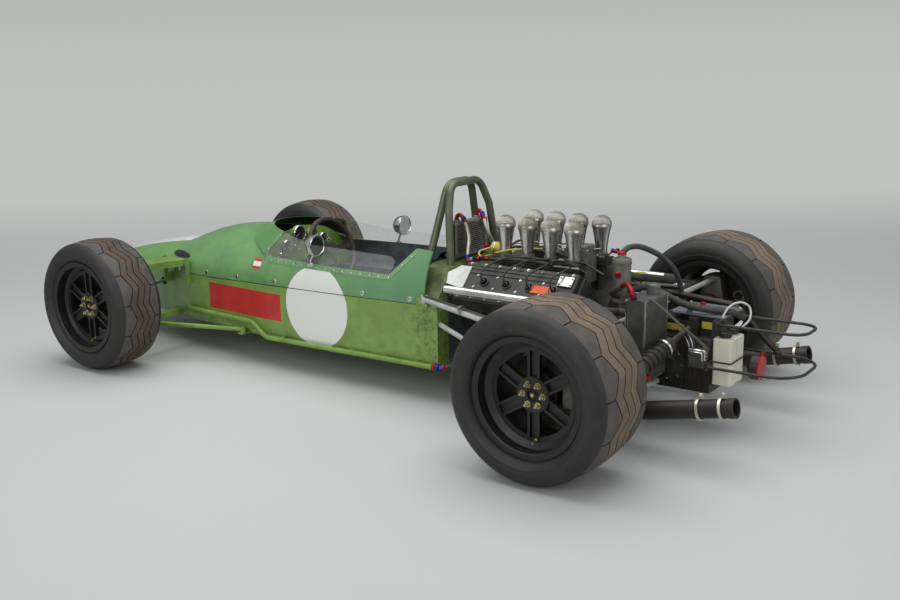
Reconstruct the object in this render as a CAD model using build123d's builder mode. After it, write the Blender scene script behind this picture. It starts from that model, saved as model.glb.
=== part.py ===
"""Open wheel racing car of the late 1960s: monocoque tub, V8 behind the driver, outboard wheels.

Millimetres. +X is forward, +Y is the car's left, +Z is up. The origin is on the ground, under the
middle of the car's length. Stations along the car are measured forward from the rear axle, and
station() turns one into an X.
"""

import os
from math import atan2, cos, degrees, hypot, pi, radians, sin

from build123d import *

# Driving dimensions: the car's layout
WHEELBASE = 2370
FRONT_OVERHANG = 764
REAR_OVERHANG = 646
FRONT_TRACK = 1442
REAR_TRACK = 1464
CRANK_HEIGHT = 262

LENGTH = WHEELBASE + FRONT_OVERHANG + REAR_OVERHANG
REAR_AXLE_X = -LENGTH / 2 + REAR_OVERHANG

# Clearances
SEAT_GAP = 0.3
RUNNING_GAP = 0.05
MOVING_GAP = 5

# Wheels and tyres, both axles on rims of the same diameter
TYRE_RADIUS = {"front": 297, "rear": 306}
TYRE_WIDTH = {"front": 250, "rear": 342}
RIM_WIDTH = {"front": 220, "rear": 290}
HUB_FACE = {"front": 45, "rear": 70}
FLANGE_RADIUS = 207
BEAD_RADIUS = 190.5
DROP_RADIUS = 168
RIM_WALL = 7
TYRE_WALL = 12
HUB_RADIUS = 60
HUB_THICK = 22
WHEEL_BORE = 22
SPOKES = 6
SPOKE_WIDTH = 46
SPOKE_THICK = 18
SPOKE_RIB = 9
SPOKE_GROOVE = 11
SPOKE_RING = 143
DISC_RADIUS = 128
DISC_THICK = 12
DISC_SETBACK = 50
DISC_BELL = 74
BELL_WALL = 8
FLANGE_THICK = 12

# Front suspension
SPINDLE_RADIUS = 18
KINGPIN_SETBACK = 130
KINGPIN_RADIUS = 9
UPRIGHT_THICK = 22
UPRIGHT_TOP = 122
UPRIGHT_FOOT = 112
ARM_TIP_THICK = 22
ARM_TIP_GAP = 3
STEER_ARM = 105
TIE_ROD_RADIUS = 8
RACK_RADIUS = 14
RACK_DROP = -10
ROCKER_ROOT = (2262, 2398)
ROCKER_PIVOT_Y = 302
ROCKER_PIVOT_Z = 425
ROCKER_PIVOT_RADIUS = 16

# Tub: one row per section with its station, half width and floor height
TUB_ROWS = (
    (740, 340, 128),
    (1700, 335, 128),
    (2240, 300, 134),
    (2450, 270, 140),
)
TUB_REAR = 740
TUB_FRONT = 2450
TUB_CORNER = 45
TUB_FLOOR = 28
JACK_PAD = (1200, 122)
COCKPIT_HALF = 215
COCKPIT_REAR = 865
COCKPIT_FRONT = 2430
COCKPIT_FRONT_HALF = 190
SEAM_REAR = 405
SEAM_FALL = 0.0228

# Cowl: one row per section with its station, half width and crest height
COWL_ROWS = (
    (805, 340, 760),
    (1100, 339, 712),
    (1450, 336, 672),
    (1990, 318, 596),
    (2150, 307, 584),
    (2300, 291, 551),
    (2450, 270, 497),
)
COWL_WALL = 6
SILL_HEIGHT = 505
SCREEN_TOP = 626
SCREEN_WALL = 3

# Raised rear corners of the tub, which carry the radius rods' brackets
CORNER_FRONT = 848
CORNER_TOP = 436

# Nose: one row per section with its station, half width, floor, shoulder and crest height
NOSE_ROWS = (
    (2450, 270, 140, 366, 497),
    (2820, 240, 158, 335, 436),
    (3134, 150, 215, 285, 350),
)
NOSE_WALL = 6
NOSE_CORNER = 60

# Engine
BORE_PITCH = 104
ENGINE_MIDDLE = 406
BANK_STAGGER = 12
BANK_ANGLE = 45
HEAD_TOP = 320
COVER_TOP = 350
BANK_HALF = 90
ENGINE_FRONT = 740
ENGINE_REAR = 150
TRUMPET_Y = 90
TRUMPET_FOOT = 590
TRUMPET_LIP = 712
TRUMPET_LIP_RADIUS = 38
DOME_TOP = 757

# Exhausts
SLEEVE = 26

# Gearbox
GEARBOX_HALF = 100
GEARBOX_REAR = -310
GEARBOX_FLOOR = 165
GEARBOX_TOP = 365
OUTPUT_REACH = 42
LINK_RADIUS = 11

# Tail
TAIL_PLATE = (-318, -310)
TAIL_TUBE = 5.5
TRAY_TOP = 438
TANK = ((-144, -66), (GEARBOX_HALF + 10 + SEAT_GAP, 300), (224, 529))
EAR = ((44, 76), 545, 14)
UPPER_ROD = ((796, 354, 436), (40, 570, 398))
LOWER_ROD = ((800, 300, 341), (40, 572, 212))
DAMPER = ((-228, 108, 402), (-92, 628, 214))
RAIL_Y, RAIL_Z, RAIL_RADIUS = 330, 482, 16
UPPER_TAIL = (85, 425)
LOWER_TAIL = (150, 280)

FRONT_AXLE = WHEELBASE


def station(s):
    """X of a station measured forward from the rear axle."""
    return REAR_AXLE_X + s


def seam(s):
    """Height of the joint between tub and cowl at a station."""
    return SEAM_REAR - SEAM_FALL * (s - TUB_REAR)


def between(rows, s, column):
    """Value of one column of a section table at a station between its rows."""
    for a, b in zip(rows, rows[1:]):
        if a[0] <= s <= b[0]:
            return a[column] + (b[column] - a[column]) * (s - a[0]) / (b[0] - a[0])
    raise ValueError(f"station {s} is outside the table")


def across(s):
    """Plane across the car at a station, its x to the car's left and its y up."""
    return Plane(origin=(station(s), 0, 0), x_dir=(0, 1, 0), z_dir=(1, 0, 0))


SIDE = Plane.XZ


def tube(points, radius, bend=None, bore=0):
    """Round tube along points given as (station, y, z), its corners bent to one radius or a list."""
    path_points = [(station(s), y, z) for s, y, z in points]
    with BuildPart() as made:
        with BuildLine() as path:
            if len(path_points) == 2:
                Line(*path_points)
            else:
                FilletPolyline(*path_points, radius=bend)
        with BuildSketch(Plane(origin=path.line @ 0, z_dir=path.line % 0)):
            Circle(radius)
            if bore:
                Circle(bore, mode=Mode.SUBTRACT)
        sweep(path=path.line)
    return made.part


def block(s, y, z):
    """Plain box from low and high values of station, y and height."""
    with BuildPart() as made:
        with Locations((station(sum(s) / 2), sum(y) / 2, sum(z) / 2)):
            Box(s[1] - s[0], y[1] - y[0], z[1] - z[0])
    return made.part


def rod(start, end, radius):
    """Straight round bar between two points given as (station, y, z)."""
    return tube((start, end), radius)


def cylinder_y(s, z, radius, low, high):
    """Cylinder along Y at a station and height."""
    return rod((s, low, z), (s, high, z), radius)


def both_sides(*shapes):
    """The shapes and their mirror images about the car's middle plane, as one part."""
    with BuildPart() as made:
        add(list(shapes))
        add([mirror(shape, about=Plane.XZ) for shape in shapes])
    return made.part


def fused(*shapes):
    """One part from several shapes."""
    with BuildPart() as made:
        add(list(shapes))
    return made.part


def place_wheel(shape, axle, side):
    """Moves a wheel piece from its own frame, outboard towards +Y, to one corner of the car."""
    x = station(FRONT_AXLE if axle == "front" else 0)
    track = FRONT_TRACK if axle == "front" else REAR_TRACK
    z = TYRE_RADIUS[axle]
    if side == "right":
        shape = mirror(shape, about=Plane.XZ)
    sign = 1 if side == "left" else -1
    return shape.moved(Location((x, sign * track / 2, z)))


def tyre(axle):
    """Slick carcass with rounded shoulders, open towards the rim."""
    radius, half, rim = TYRE_RADIUS[axle], TYRE_WIDTH[axle] / 2, RIM_WIDTH[axle] / 2 - 8 - SEAT_GAP
    bead = BEAD_RADIUS + SEAT_GAP
    lip = FLANGE_RADIUS + 2
    wall = TYRE_WALL
    with BuildPart() as made:
        with BuildSketch(Plane.XY):
            with BuildLine():
                Polyline((bead, rim - 26), (bead, rim), (lip, rim))
                ThreePointArc((lip, rim), (lip + 14, half - 5), (radius - 66, half))
                ThreePointArc((radius - 66, half), (radius - 32, half - 6), (radius - 9, half - 34))
                Line((radius - 9, half - 34), (radius, 0))
                Line((radius, 0), (radius - wall, 0))
                Line((radius - wall, 0), (radius - 9 - wall, half - 40))
                ThreePointArc(
                    (radius - 9 - wall, half - 40), (radius - 38, half - 18), (radius - 66, half - wall)
                )
                Line((radius - 66, half - wall), (bead + 14, rim - 22))
                Line((bead + 14, rim - 22), (bead, rim - 26))
            make_face()
            mirror(about=Plane.XZ)
        revolve(axis=Axis.Y)
    return made.part


def wheel(axle):
    """Cast wheel: stepped barrel, six twin ribbed spokes and a hub pad."""
    half, hub = RIM_WIDTH[axle] / 2, HUB_FACE[axle]
    seat = half - 8
    wall = RIM_WALL
    with BuildPart() as made:
        with BuildSketch(Plane.XY):
            with BuildLine():
                Polyline(
                    (FLANGE_RADIUS, half),
                    (FLANGE_RADIUS, seat),
                    (BEAD_RADIUS, seat),
                    (BEAD_RADIUS, seat - 34),
                    (DROP_RADIUS, seat - 48),
                    (DROP_RADIUS, 0),
                    (DROP_RADIUS - wall, 0),
                    (DROP_RADIUS - wall, seat - 50),
                    (BEAD_RADIUS - wall, seat - 36),
                    (BEAD_RADIUS - wall, half - 4),
                    (BEAD_RADIUS - wall + 5, half),
                    close=True,
                )
            make_face()
            mirror(about=Plane.XZ)
        revolve(axis=Axis.Y)
        with BuildSketch(Plane.XZ.offset(-hub)) as web:
            Circle(DROP_RADIUS - wall + 1)
            Circle(SPOKE_RING, mode=Mode.SUBTRACT)
            with PolarLocations(0, SPOKES, start_angle=30):
                with Locations((SPOKE_RING / 2, 0)):
                    Rectangle(SPOKE_RING + 4, SPOKE_WIDTH)
            Circle(HUB_RADIUS + 2)
        extrude(web.sketch, amount=-SPOKE_THICK)
        with BuildSketch(Plane.XZ.offset(-hub)) as pad:
            Circle(HUB_RADIUS)
        extrude(pad.sketch, amount=-HUB_THICK)
        outer = Plane.XZ.offset(-(hub + SPOKE_THICK))
        with BuildSketch(outer) as grooves:
            with PolarLocations(0, SPOKES, start_angle=30):
                with Locations(((HUB_RADIUS + SPOKE_RING) / 2 + 4, 0)):
                    Rectangle(SPOKE_RING - HUB_RADIUS + 4, SPOKE_WIDTH - 2 * SPOKE_RIB)
        extrude(grooves.sketch, amount=SPOKE_GROOVE, mode=Mode.SUBTRACT)
        with BuildSketch(Plane.XZ.offset(-(hub + HUB_THICK))) as bore:
            Circle(WHEEL_BORE)
        extrude(bore.sketch, amount=HUB_THICK, mode=Mode.SUBTRACT)
    return made.part


def disc_profile(hub):
    """Half profile of flange, bell and brake disc, radius along X and outboard along Y."""
    face = hub - DISC_SETBACK
    return (
        (HUB_RADIUS, hub),
        (HUB_RADIUS, hub - FLANGE_THICK + 4),
        (DISC_BELL, hub - FLANGE_THICK + 4),
        (DISC_BELL, face),
        (DISC_RADIUS, face),
        (DISC_RADIUS, face - DISC_THICK),
        (DISC_BELL - BELL_WALL, face - DISC_THICK),
        (DISC_BELL - BELL_WALL, hub - FLANGE_THICK - 4),
    )


def front_hub():
    """Hub with its brake disc, bored for the knuckle's spindle."""
    hub = HUB_FACE["front"]
    bore = SPINDLE_RADIUS + RUNNING_GAP
    inner = hub - KINGPIN_SETBACK + UPRIGHT_THICK + 10
    with BuildPart() as made:
        with BuildSketch(Plane.XY):
            with BuildLine():
                Polyline(
                    (0, hub),
                    *disc_profile(hub),
                    (34, hub - FLANGE_THICK - 4),
                    (34, inner),
                    (bore, inner),
                    (bore, hub - 8),
                    (0, hub - 8),
                    close=True,
                )
            make_face()
        revolve(axis=Axis.Y)
    return made.part


def caliper(face, side):
    """Two sided caliper over the disc's edge, with the disc's slot cut clear."""
    low = face - DISC_THICK - MOVING_GAP - 18
    high = face + MOVING_GAP + 18
    inner, outer = 84, 142
    with BuildPart() as made:
        with Locations((side * (inner + outer) / 2, (low + high) / 2, 0)):
            Box(outer - inner, high - low, 84)
        fillet(made.edges().filter_by(Axis.Y), 8)
        with BuildSketch(Plane.XZ.offset(-(face + MOVING_GAP))) as slot:
            Circle(DISC_RADIUS + MOVING_GAP)
        extrude(slot.sketch, amount=DISC_THICK + 2 * MOVING_GAP, mode=Mode.SUBTRACT)
    return made.part


def knuckle():
    """Front upright with spindle, kingpins, caliper and steering arm, in the wheel's frame."""
    hub = HUB_FACE["front"]
    pin_y = hub - KINGPIN_SETBACK
    plate = (pin_y + 4, pin_y + 4 + UPRIGHT_THICK)
    face = hub - DISC_SETBACK
    arm_z = RACK_DROP * -1 + TIE_ROD_RADIUS + SEAT_GAP
    caliper_low = face - DISC_THICK - MOVING_GAP - 18
    with BuildPart() as made:
        with BuildSketch(Plane.XZ.offset(-plate[0])) as outline:
            with BuildLine():
                Polyline(
                    (-20, UPRIGHT_TOP),
                    (20, UPRIGHT_TOP),
                    (40, 10),
                    (20, -UPRIGHT_FOOT),
                    (-20, -UPRIGHT_FOOT),
                    (-40, 10),
                    close=True,
                )
            make_face()
        extrude(outline.sketch, amount=-UPRIGHT_THICK)
        with Locations((0, pin_y, (UPRIGHT_TOP - UPRIGHT_FOOT) / 2)):
            Cylinder(15, UPRIGHT_TOP + UPRIGHT_FOOT)
        top = UPRIGHT_TOP + ARM_TIP_GAP + ARM_TIP_THICK + 4
        foot = UPRIGHT_FOOT + ARM_TIP_GAP + ARM_TIP_THICK + 4
        with Locations((0, pin_y, (top - foot) / 2)):
            Cylinder(KINGPIN_RADIUS, top + foot)
        with BuildSketch(Plane.XZ.offset(-plate[0])) as spindle:
            Circle(SPINDLE_RADIUS)
        extrude(spindle.sketch, amount=-(hub - 10 - plate[0]))
        with Locations((STEER_ARM / 2, (plate[0] + plate[1]) / 2 - 2, arm_z + 7)):
            Box(STEER_ARM, UPRIGHT_THICK - 4, 14)
        with Locations((STEER_ARM, (plate[0] + plate[1]) / 2 - 2, arm_z + 7)):
            Cylinder(12, 14)
        with Locations((-62, (plate[0] + plate[1]) / 2, 0)):
            Box(86, UPRIGHT_THICK, 34)
        with Locations((-74, (plate[0] + caliper_low + 6) / 2, 0)):
            Box(62, caliper_low + 6 - plate[0], 34)
        add(caliper(face, -1))
    return made.part


def rear_drive():
    """Rear hub with disc, stub through the upright, driveshaft and inner coupling, in the wheel's frame."""
    hub = HUB_FACE["rear"]
    inboard = -(REAR_TRACK / 2 - GEARBOX_HALF - OUTPUT_REACH)
    stub = hub - 150
    with BuildPart() as made:
        with BuildSketch(Plane.XY):
            with BuildLine():
                Polyline(
                    (0, hub),
                    *disc_profile(hub),
                    (35, hub - FLANGE_THICK - 4),
                    (35, stub),
                    (52, stub - 6),
                    (52, stub - 48),
                    (30, stub - 60),
                    (16, stub - 66),
                    (16, inboard + 72),
                    (30, inboard + 66),
                    (52, inboard + 54),
                    (52, inboard + SEAT_GAP),
                    (0, inboard + SEAT_GAP),
                    close=True,
                )
            make_face()
        revolve(axis=Axis.Y)
    return made.part


def on_line(ends, s):
    """Point of a straight rod at a station."""
    a, b = ends
    part = (s - a[0]) / (b[0] - a[0])
    return tuple(p + (q - p) * part for p, q in zip(a, b))


def ear_height(ends):
    """Height of a radius rod where it meets its ear, in the rear wheel's frame."""
    return on_line(ends, EAR[0][1])[2] - TYRE_RADIUS["rear"]


def rear_upright():
    """Rear upright round the stub, with top and bottom ears and its caliper, in the wheel's frame."""
    hub = HUB_FACE["rear"]
    face = hub - DISC_SETBACK
    low, high = hub - 140, face - DISC_THICK - MOVING_GAP - 6
    caliper_low = face - DISC_THICK - MOVING_GAP - 18
    with BuildPart() as made:
        with BuildSketch(Plane.XZ.offset(-low)) as outline:
            with BuildLine():
                Polyline(
                    (-34, 126), (34, 126), (58, 0), (46, -138), (-46, -138), (-58, 0), close=True
                )
            make_face()
        extrude(outline.sketch, amount=-(high - low))
        fillet(made.edges().filter_by(Axis.Y), 12)
        add(caliper(face, -1))
        with Locations((-78, (low + caliper_low + 6) / 2, 0)):
            Box(60, caliper_low + 6 - low, 36)
        (ear_low, ear_high), ear_y, ear_half = EAR
        for z in (ear_height(UPPER_ROD), ear_height(LOWER_ROD)):
            with Locations(((ear_high + 10) / 2, low + 12, z)):
                Box(ear_high - 10, 24, 2 * ear_half)
            with Locations(((ear_low + ear_high) / 2, (ear_y - REAR_TRACK / 2 + low + 2) / 2, z)):
                Box(ear_high - ear_low, low + 2 - ear_y + REAR_TRACK / 2, 2 * ear_half)
        with Locations((-75, low - 24, DAMPER[1][2] - TYRE_RADIUS["rear"] + 4)):
            Box(62, 52, 30)
        with BuildSketch(Plane.XZ.offset(-low)) as bore:
            Circle(35 + RUNNING_GAP)
        extrude(bore.sketch, amount=-(high - low), mode=Mode.SUBTRACT)
    return made.part


def tub_section(s, half, floor):
    """Section of the tub at a station: flat floor, round lower corners, upright sides."""
    top = seam(s)
    with BuildSketch(across(s)) as made:
        with BuildLine():
            FilletPolyline((half, top), (half, floor), (-half, floor), (-half, top), radius=TUB_CORNER)
            Line((-half, top), (half, top))
        make_face()
    return made.sketch


def tub():
    """Riveted monocoque: side boxes, floor and bulkheads, with the suspension brackets."""
    rocker_z = ROCKER_PIVOT_Z + ROCKER_PIVOT_RADIUS + 4
    lugs = []
    for low, high in ((ROCKER_ROOT[0] - 18, ROCKER_ROOT[0] - 6), (ROCKER_ROOT[1] + 6, ROCKER_ROOT[1] + 18)):
        lugs.append(block((low, high), (250, 320), (320, 362)))
        lugs.append(block((low, high), (298, 320), (361, rocker_z)))
    link_z = TYRE_RADIUS["front"] - UPRIGHT_FOOT - ARM_TIP_GAP - ARM_TIP_THICK / 2
    foot = block((FRONT_AXLE - 24, FRONT_AXLE + 24), (200, 300), (link_z - 17, link_z + 17))
    shelf = block((1835, 1869), (290, 364), (140, 147))
    corner = block((TUB_REAR, CORNER_FRONT), (COCKPIT_HALF + 5, 340), (380, CORNER_TOP))
    rod_lug = block((770, 812), (339, 366), (CORNER_TOP - 30, CORNER_TOP - 15))
    pad = block((JACK_PAD[0] - 60, JACK_PAD[0] + 60), (-60, 60), (JACK_PAD[1], TUB_ROWS[0][2] + 4))
    with BuildPart() as made:
        loft([tub_section(*row) for row in TUB_ROWS], ruled=True)
        with BuildSketch(Plane.XY.offset(TUB_ROWS[0][2] + TUB_FLOOR)) as well:
            with BuildLine():
                Polyline(
                    (station(COCKPIT_REAR), COCKPIT_HALF),
                    (station(2100), COCKPIT_HALF),
                    (station(COCKPIT_FRONT), COCKPIT_FRONT_HALF),
                    (station(COCKPIT_FRONT), -COCKPIT_FRONT_HALF),
                    (station(2100), -COCKPIT_HALF),
                    (station(COCKPIT_REAR), -COCKPIT_HALF),
                    close=True,
                )
            make_face()
        extrude(well.sketch, amount=400, mode=Mode.SUBTRACT)
        add(pad)
        for shape in (*lugs, foot, shelf, corner, rod_lug):
            add(shape)
            add(mirror(shape, about=Plane.XZ))
    return made.part


def cowl_solid(inset, low=-200):
    """Solid under the cowl's arch, each section pulled in by an inset."""
    with BuildPart() as made:
        for number, (s, half, crest) in enumerate(COWL_ROWS):
            end = {0: -inset, len(COWL_ROWS) - 1: inset}.get(number, 0)
            with BuildSketch(across(s + end)):
                with BuildLine():
                    side, rise = half - inset, crest - inset - seam(s)
                    EllipticalCenterArc((0, seam(s)), side, rise, start_angle=0, arc_size=180)
                    Polyline((-side, seam(s)), (-side, low), (side, low), (side, seam(s)))
                make_face()
        loft()
    return made.part


def screen_solid(inset):
    """Solid inside the wind screen: straight sides and a raked elliptical front."""
    rear, start = 1000, 1500
    with BuildPart() as made:
        for z, half, apex in ((470, 334, 2327), (670, 185, 1777)):
            half -= inset
            with BuildSketch(Plane.XY.offset(z)):
                with BuildLine():
                    Line((station(start), -half), (station(rear), -half))
                    Line((station(rear), -half), (station(rear), half))
                    Line((station(rear), half), (station(start), half))
                    EllipticalCenterArc(
                        (station(start), 0), apex - inset - start, half, start_angle=-90, arc_size=180
                    )
                make_face()
        loft(ruled=True)
    return made.part


def side_cut(points, half):
    """Prism across the car whose side view is the polygon of (station, z) points."""
    with BuildPart() as made:
        with BuildSketch(SIDE) as profile:
            with BuildLine():
                Polyline(*[(station(s), z) for s, z in points], close=True)
            make_face()
        extrude(profile.sketch, amount=half, both=True)
    return made.part


def opening_profile(lift):
    """Side view of what is open above the cockpit's sill, lifted off the sill's edge."""
    return (
        (1000, SILL_HEIGHT + lift),
        (1709, SILL_HEIGHT - 2 + lift),
        (1990, 592 + lift),
        (1990, 900),
        (700, 900),
        (700, 612),
        (905, 612),
    )


def cowl():
    """Glass fibre top: scuttle hump, cockpit sides and the raised shoulders behind the driver."""
    step = CORNER_FRONT + SEAT_GAP
    below_seam = side_cut(
        (
            (700, CORNER_TOP + SEAT_GAP),
            (step, CORNER_TOP + SEAT_GAP),
            (step, seam(step)),
            (2500, seam(2500)),
            (2500, -300),
            (700, -300),
        ),
        400,
    )
    above_sill = side_cut(opening_profile(0), 400)
    with BuildPart() as made:
        add(cowl_solid(0))
        add(cowl_solid(COWL_WALL), mode=Mode.SUBTRACT)
        add(below_seam, mode=Mode.SUBTRACT)
        add(above_sill, mode=Mode.SUBTRACT)
    return made.part


def wind_screen():
    """Clear wrap around screen standing on the cowl round the cockpit opening."""
    top = side_cut(
        (
            (900, 500),
            (1030, 570),
            (1480, 578),
            (1700, 612),
            (1860, SCREEN_TOP),
            (2100, SCREEN_TOP + 14),
            (2100, 900),
            (900, 900),
        ),
        400,
    )
    with BuildPart() as made:
        add(screen_solid(-SCREEN_WALL))
        add(screen_solid(0), mode=Mode.SUBTRACT)
        add(side_cut(opening_profile(SEAT_GAP), 400), mode=Mode.INTERSECT)
        add(cowl(), mode=Mode.SUBTRACT)
        add(top, mode=Mode.SUBTRACT)
    return Part() + made.solids().sort_by(SortBy.VOLUME)[-1]


def nose_section(s, half, floor, shoulder, crest, inset):
    """Section of the nose at a station, pulled in by an inset."""
    half, floor, crest = half - inset, floor + inset, crest - inset
    with BuildSketch(across(s)) as made:
        with BuildLine():
            FilletPolyline(
                (half, shoulder), (half, floor), (-half, floor), (-half, shoulder), radius=NOSE_CORNER - inset
            )
            EllipticalCenterArc((0, shoulder), half, crest - shoulder, start_angle=0, arc_size=180)
        make_face()
    return made.sketch


def nose_solid(inset):
    """Solid of the nose, longer at both ends by the inset."""
    ends = [-inset] + [0] * (len(NOSE_ROWS) - 2) + [inset]
    with BuildPart() as made:
        loft([nose_section(row[0] + end, *row[1:], inset) for row, end in zip(NOSE_ROWS, ends)])
    return made.part


def nose():
    """Detachable nose with its mouth and the holes for the tie rods."""
    rack_s, rack_z = FRONT_AXLE + STEER_ARM, TYRE_RADIUS["front"] - RACK_DROP
    with BuildPart() as made:
        add(nose_solid(0))
        add(nose_solid(NOSE_WALL), mode=Mode.SUBTRACT)
        add(cylinder_y(rack_s, rack_z, TIE_ROD_RADIUS + 12, -400, 400), mode=Mode.SUBTRACT)
    return made.part


def radiator():
    """Water radiator in the nose on its two carrying tubes."""
    carriers = [rod((TUB_FRONT, y, 215), (2800, y, 215), 12) for y in (-150, 150)]
    core = block((2800, 2850), (-180, 180), (185, 350))
    tanks = [block((2795, 2855), y, (190, 345)) for y in ((180, 202), (-202, -180))]
    return fused(*carriers, core, *tanks)


def rack():
    """Steering rack with its tie rods, sliding across the car."""
    s, z = FRONT_AXLE + STEER_ARM, TYRE_RADIUS["front"] - RACK_DROP
    reach = FRONT_TRACK / 2 + HUB_FACE["front"] - KINGPIN_SETBACK + 10
    bar = cylinder_y(s, z, RACK_RADIUS, -200, 200)
    rods = cylinder_y(s, z, TIE_ROD_RADIUS, -reach, reach)
    return fused(bar, rods)


def rack_housing():
    """Housing of the rack on the front face of the tub."""
    s, z = FRONT_AXLE + STEER_ARM, TYRE_RADIUS["front"] - RACK_DROP
    bore = cylinder_y(s, z, RACK_RADIUS + RUNNING_GAP, -170, 170)
    with BuildPart() as made:
        add(block((TUB_FRONT, s + 26), (-150, 150), (z - 26, z + 26)))
        fillet(made.edges().filter_by(Axis.Y).group_by(Axis.X)[-1], 14)
        add(bore, mode=Mode.SUBTRACT)
    return made.part


def rocker_arm():
    """Fabricated top arm with its pivot tube on the tub, left side."""
    tip = (FRONT_AXLE, FRONT_TRACK / 2 + HUB_FACE["front"] - KINGPIN_SETBACK)
    low = TYRE_RADIUS["front"] + UPRIGHT_TOP + ARM_TIP_GAP
    high = low + ARM_TIP_THICK
    pivot = rod(
        (ROCKER_ROOT[0] - 6, ROCKER_PIVOT_Y, ROCKER_PIVOT_Z),
        (ROCKER_ROOT[1] + 6, ROCKER_PIVOT_Y, ROCKER_PIVOT_Z),
        ROCKER_PIVOT_RADIUS,
    )
    with BuildPart() as made:
        add(pivot)
        with BuildSketch(Plane.XZ.offset(-ROCKER_PIVOT_Y)) as root:
            with Locations((station(sum(ROCKER_ROOT) / 2), ROCKER_PIVOT_Z)):
                Rectangle(ROCKER_ROOT[1] - ROCKER_ROOT[0], 2 * ROCKER_PIVOT_RADIUS)
        with BuildSketch(Plane.XZ.offset(-tip[1])) as end:
            with Locations((station(tip[0]), (low + high) / 2)):
                Rectangle(40, ARM_TIP_THICK)
        loft([root.sketch, end.sketch], ruled=True)
        with Locations((station(tip[0]), tip[1], (low + high) / 2)):
            Cylinder(20, ARM_TIP_THICK)
            Cylinder(KINGPIN_RADIUS + RUNNING_GAP, ARM_TIP_THICK + 2, mode=Mode.SUBTRACT)
    return made.part


def lower_arm():
    """Lower transverse link with the long radius rod to the tub, left side."""
    tip_y = FRONT_TRACK / 2 + HUB_FACE["front"] - KINGPIN_SETBACK
    high = TYRE_RADIUS["front"] - UPRIGHT_FOOT - ARM_TIP_GAP
    middle = high - ARM_TIP_THICK / 2
    with BuildPart() as made:
        with BuildSketch(Plane.XY.offset(high - ARM_TIP_THICK)) as plan:
            with BuildLine():
                Polyline(
                    (station(FRONT_AXLE - 20), 300),
                    (station(FRONT_AXLE + 20), 300),
                    (station(FRONT_AXLE + 16), tip_y),
                    (station(FRONT_AXLE - 16), tip_y),
                    close=True,
                )
            make_face()
        extrude(plan.sketch, amount=ARM_TIP_THICK)
        with Locations((station(FRONT_AXLE), tip_y, middle)):
            Cylinder(20, ARM_TIP_THICK)
            Cylinder(KINGPIN_RADIUS + RUNNING_GAP, ARM_TIP_THICK + 2, mode=Mode.SUBTRACT)
        add(rod((FRONT_AXLE, 540, middle), (1852, 346, 160), 10))
        with Locations((station(1852), 346, 147 + 13)):
            Cylinder(13, 26)
    return made.part


def bulkhead():
    """Deck behind the driver that closes the tub and carries the rear hoop."""
    front, rear = CORNER_FRONT + 10, TUB_REAR + 4
    with BuildPart() as made:
        with BuildSketch(across(rear)) as outline:
            with BuildLine():
                Polyline(
                    (214, seam(rear)),
                    (214, CORNER_TOP + SEAT_GAP),
                    (326, CORNER_TOP + SEAT_GAP),
                    (236, 540),
                    (200, 552),
                    (-200, 552),
                    (-236, 540),
                    (-326, CORNER_TOP + SEAT_GAP),
                    (-214, CORNER_TOP + SEAT_GAP),
                    (-214, seam(rear)),
                    close=True,
                )
            make_face()
        extrude(outline.sketch, amount=front - rear)
        add(side_cut(((rear - 1, 500), (rear - 1, 600), (front + 1, 600), (front + 1, 552), (764, 540)), 400),
            mode=Mode.SUBTRACT)
        add(side_cut(((CORNER_FRONT - 4, CORNER_TOP), (CORNER_FRONT - 4, 300), (900, 300), (900, CORNER_TOP)), 400),
            mode=Mode.SUBTRACT)
    return made.part


def deck_height(s):
    """Height of the bulkhead's top at a station."""
    return 540 + (552 - 540) * (s - 764) / (858 - 764)


def roll_hoop():
    """Twin hoops joined at the crown."""
    radius = 16
    front = tube(
        (
            (908, 244, seam(905) - 30),
            (872, 122, 745),
            (862, 84, 866),
            (862, -84, 866),
            (872, -122, 745),
            (908, -244, seam(905) - 30),
        ),
        radius,
        bend=(60, 66, 66, 60),
    )
    foot = deck_height(790)
    rear = tube(
        (
            (790, 172, foot - 4),
            (812, 148, 760),
            (832, 104, 866),
            (832, -104, 866),
            (812, -148, 760),
            (790, -172, foot - 4),
        ),
        radius,
        bend=(60, 66, 66, 60),
    )
    with BuildPart() as made:
        add(front)
        add(rear)
        add(side_cut(((860, seam(860) + SEAT_GAP), (960, seam(960) + SEAT_GAP), (960, 300), (860, 300)), 300),
            mode=Mode.SUBTRACT)
        add(bulkhead(), mode=Mode.SUBTRACT)
    return made.part


def oil_cooler():
    """Finned oil cooler between the hoops."""
    with BuildPart() as made:
        add(block((806, 846), (-118, 118), (deck_height(826) + 12, 704)))
        for y in (-112, 112):
            add(block((812, 840), (y - 6, y + 6), (deck_height(840) + SEAT_GAP, 600)))
    return made.part


def seat():
    """Reclined driver's seat in the tub."""
    floor = TUB_ROWS[0][2] + TUB_FLOOR
    profile = (
        (872, 540),
        (905, 546),
        (985, 330),
        (1110, 215),
        (1420, 195),
        (1470, 230),
        (1500, 222),
        (1460, floor),
        (1060, floor),
        (930, 300),
    )
    return side_cut(profile, 165)


def steering_frame():
    """Plane square to the steering column at the wheel's middle, its normal pointing forward and down."""
    tilt = radians(20)
    return Plane(
        origin=(station(1591), 0, 509), x_dir=(0, 1, 0), z_dir=(cos(tilt), 0, -sin(tilt))
    )


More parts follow.
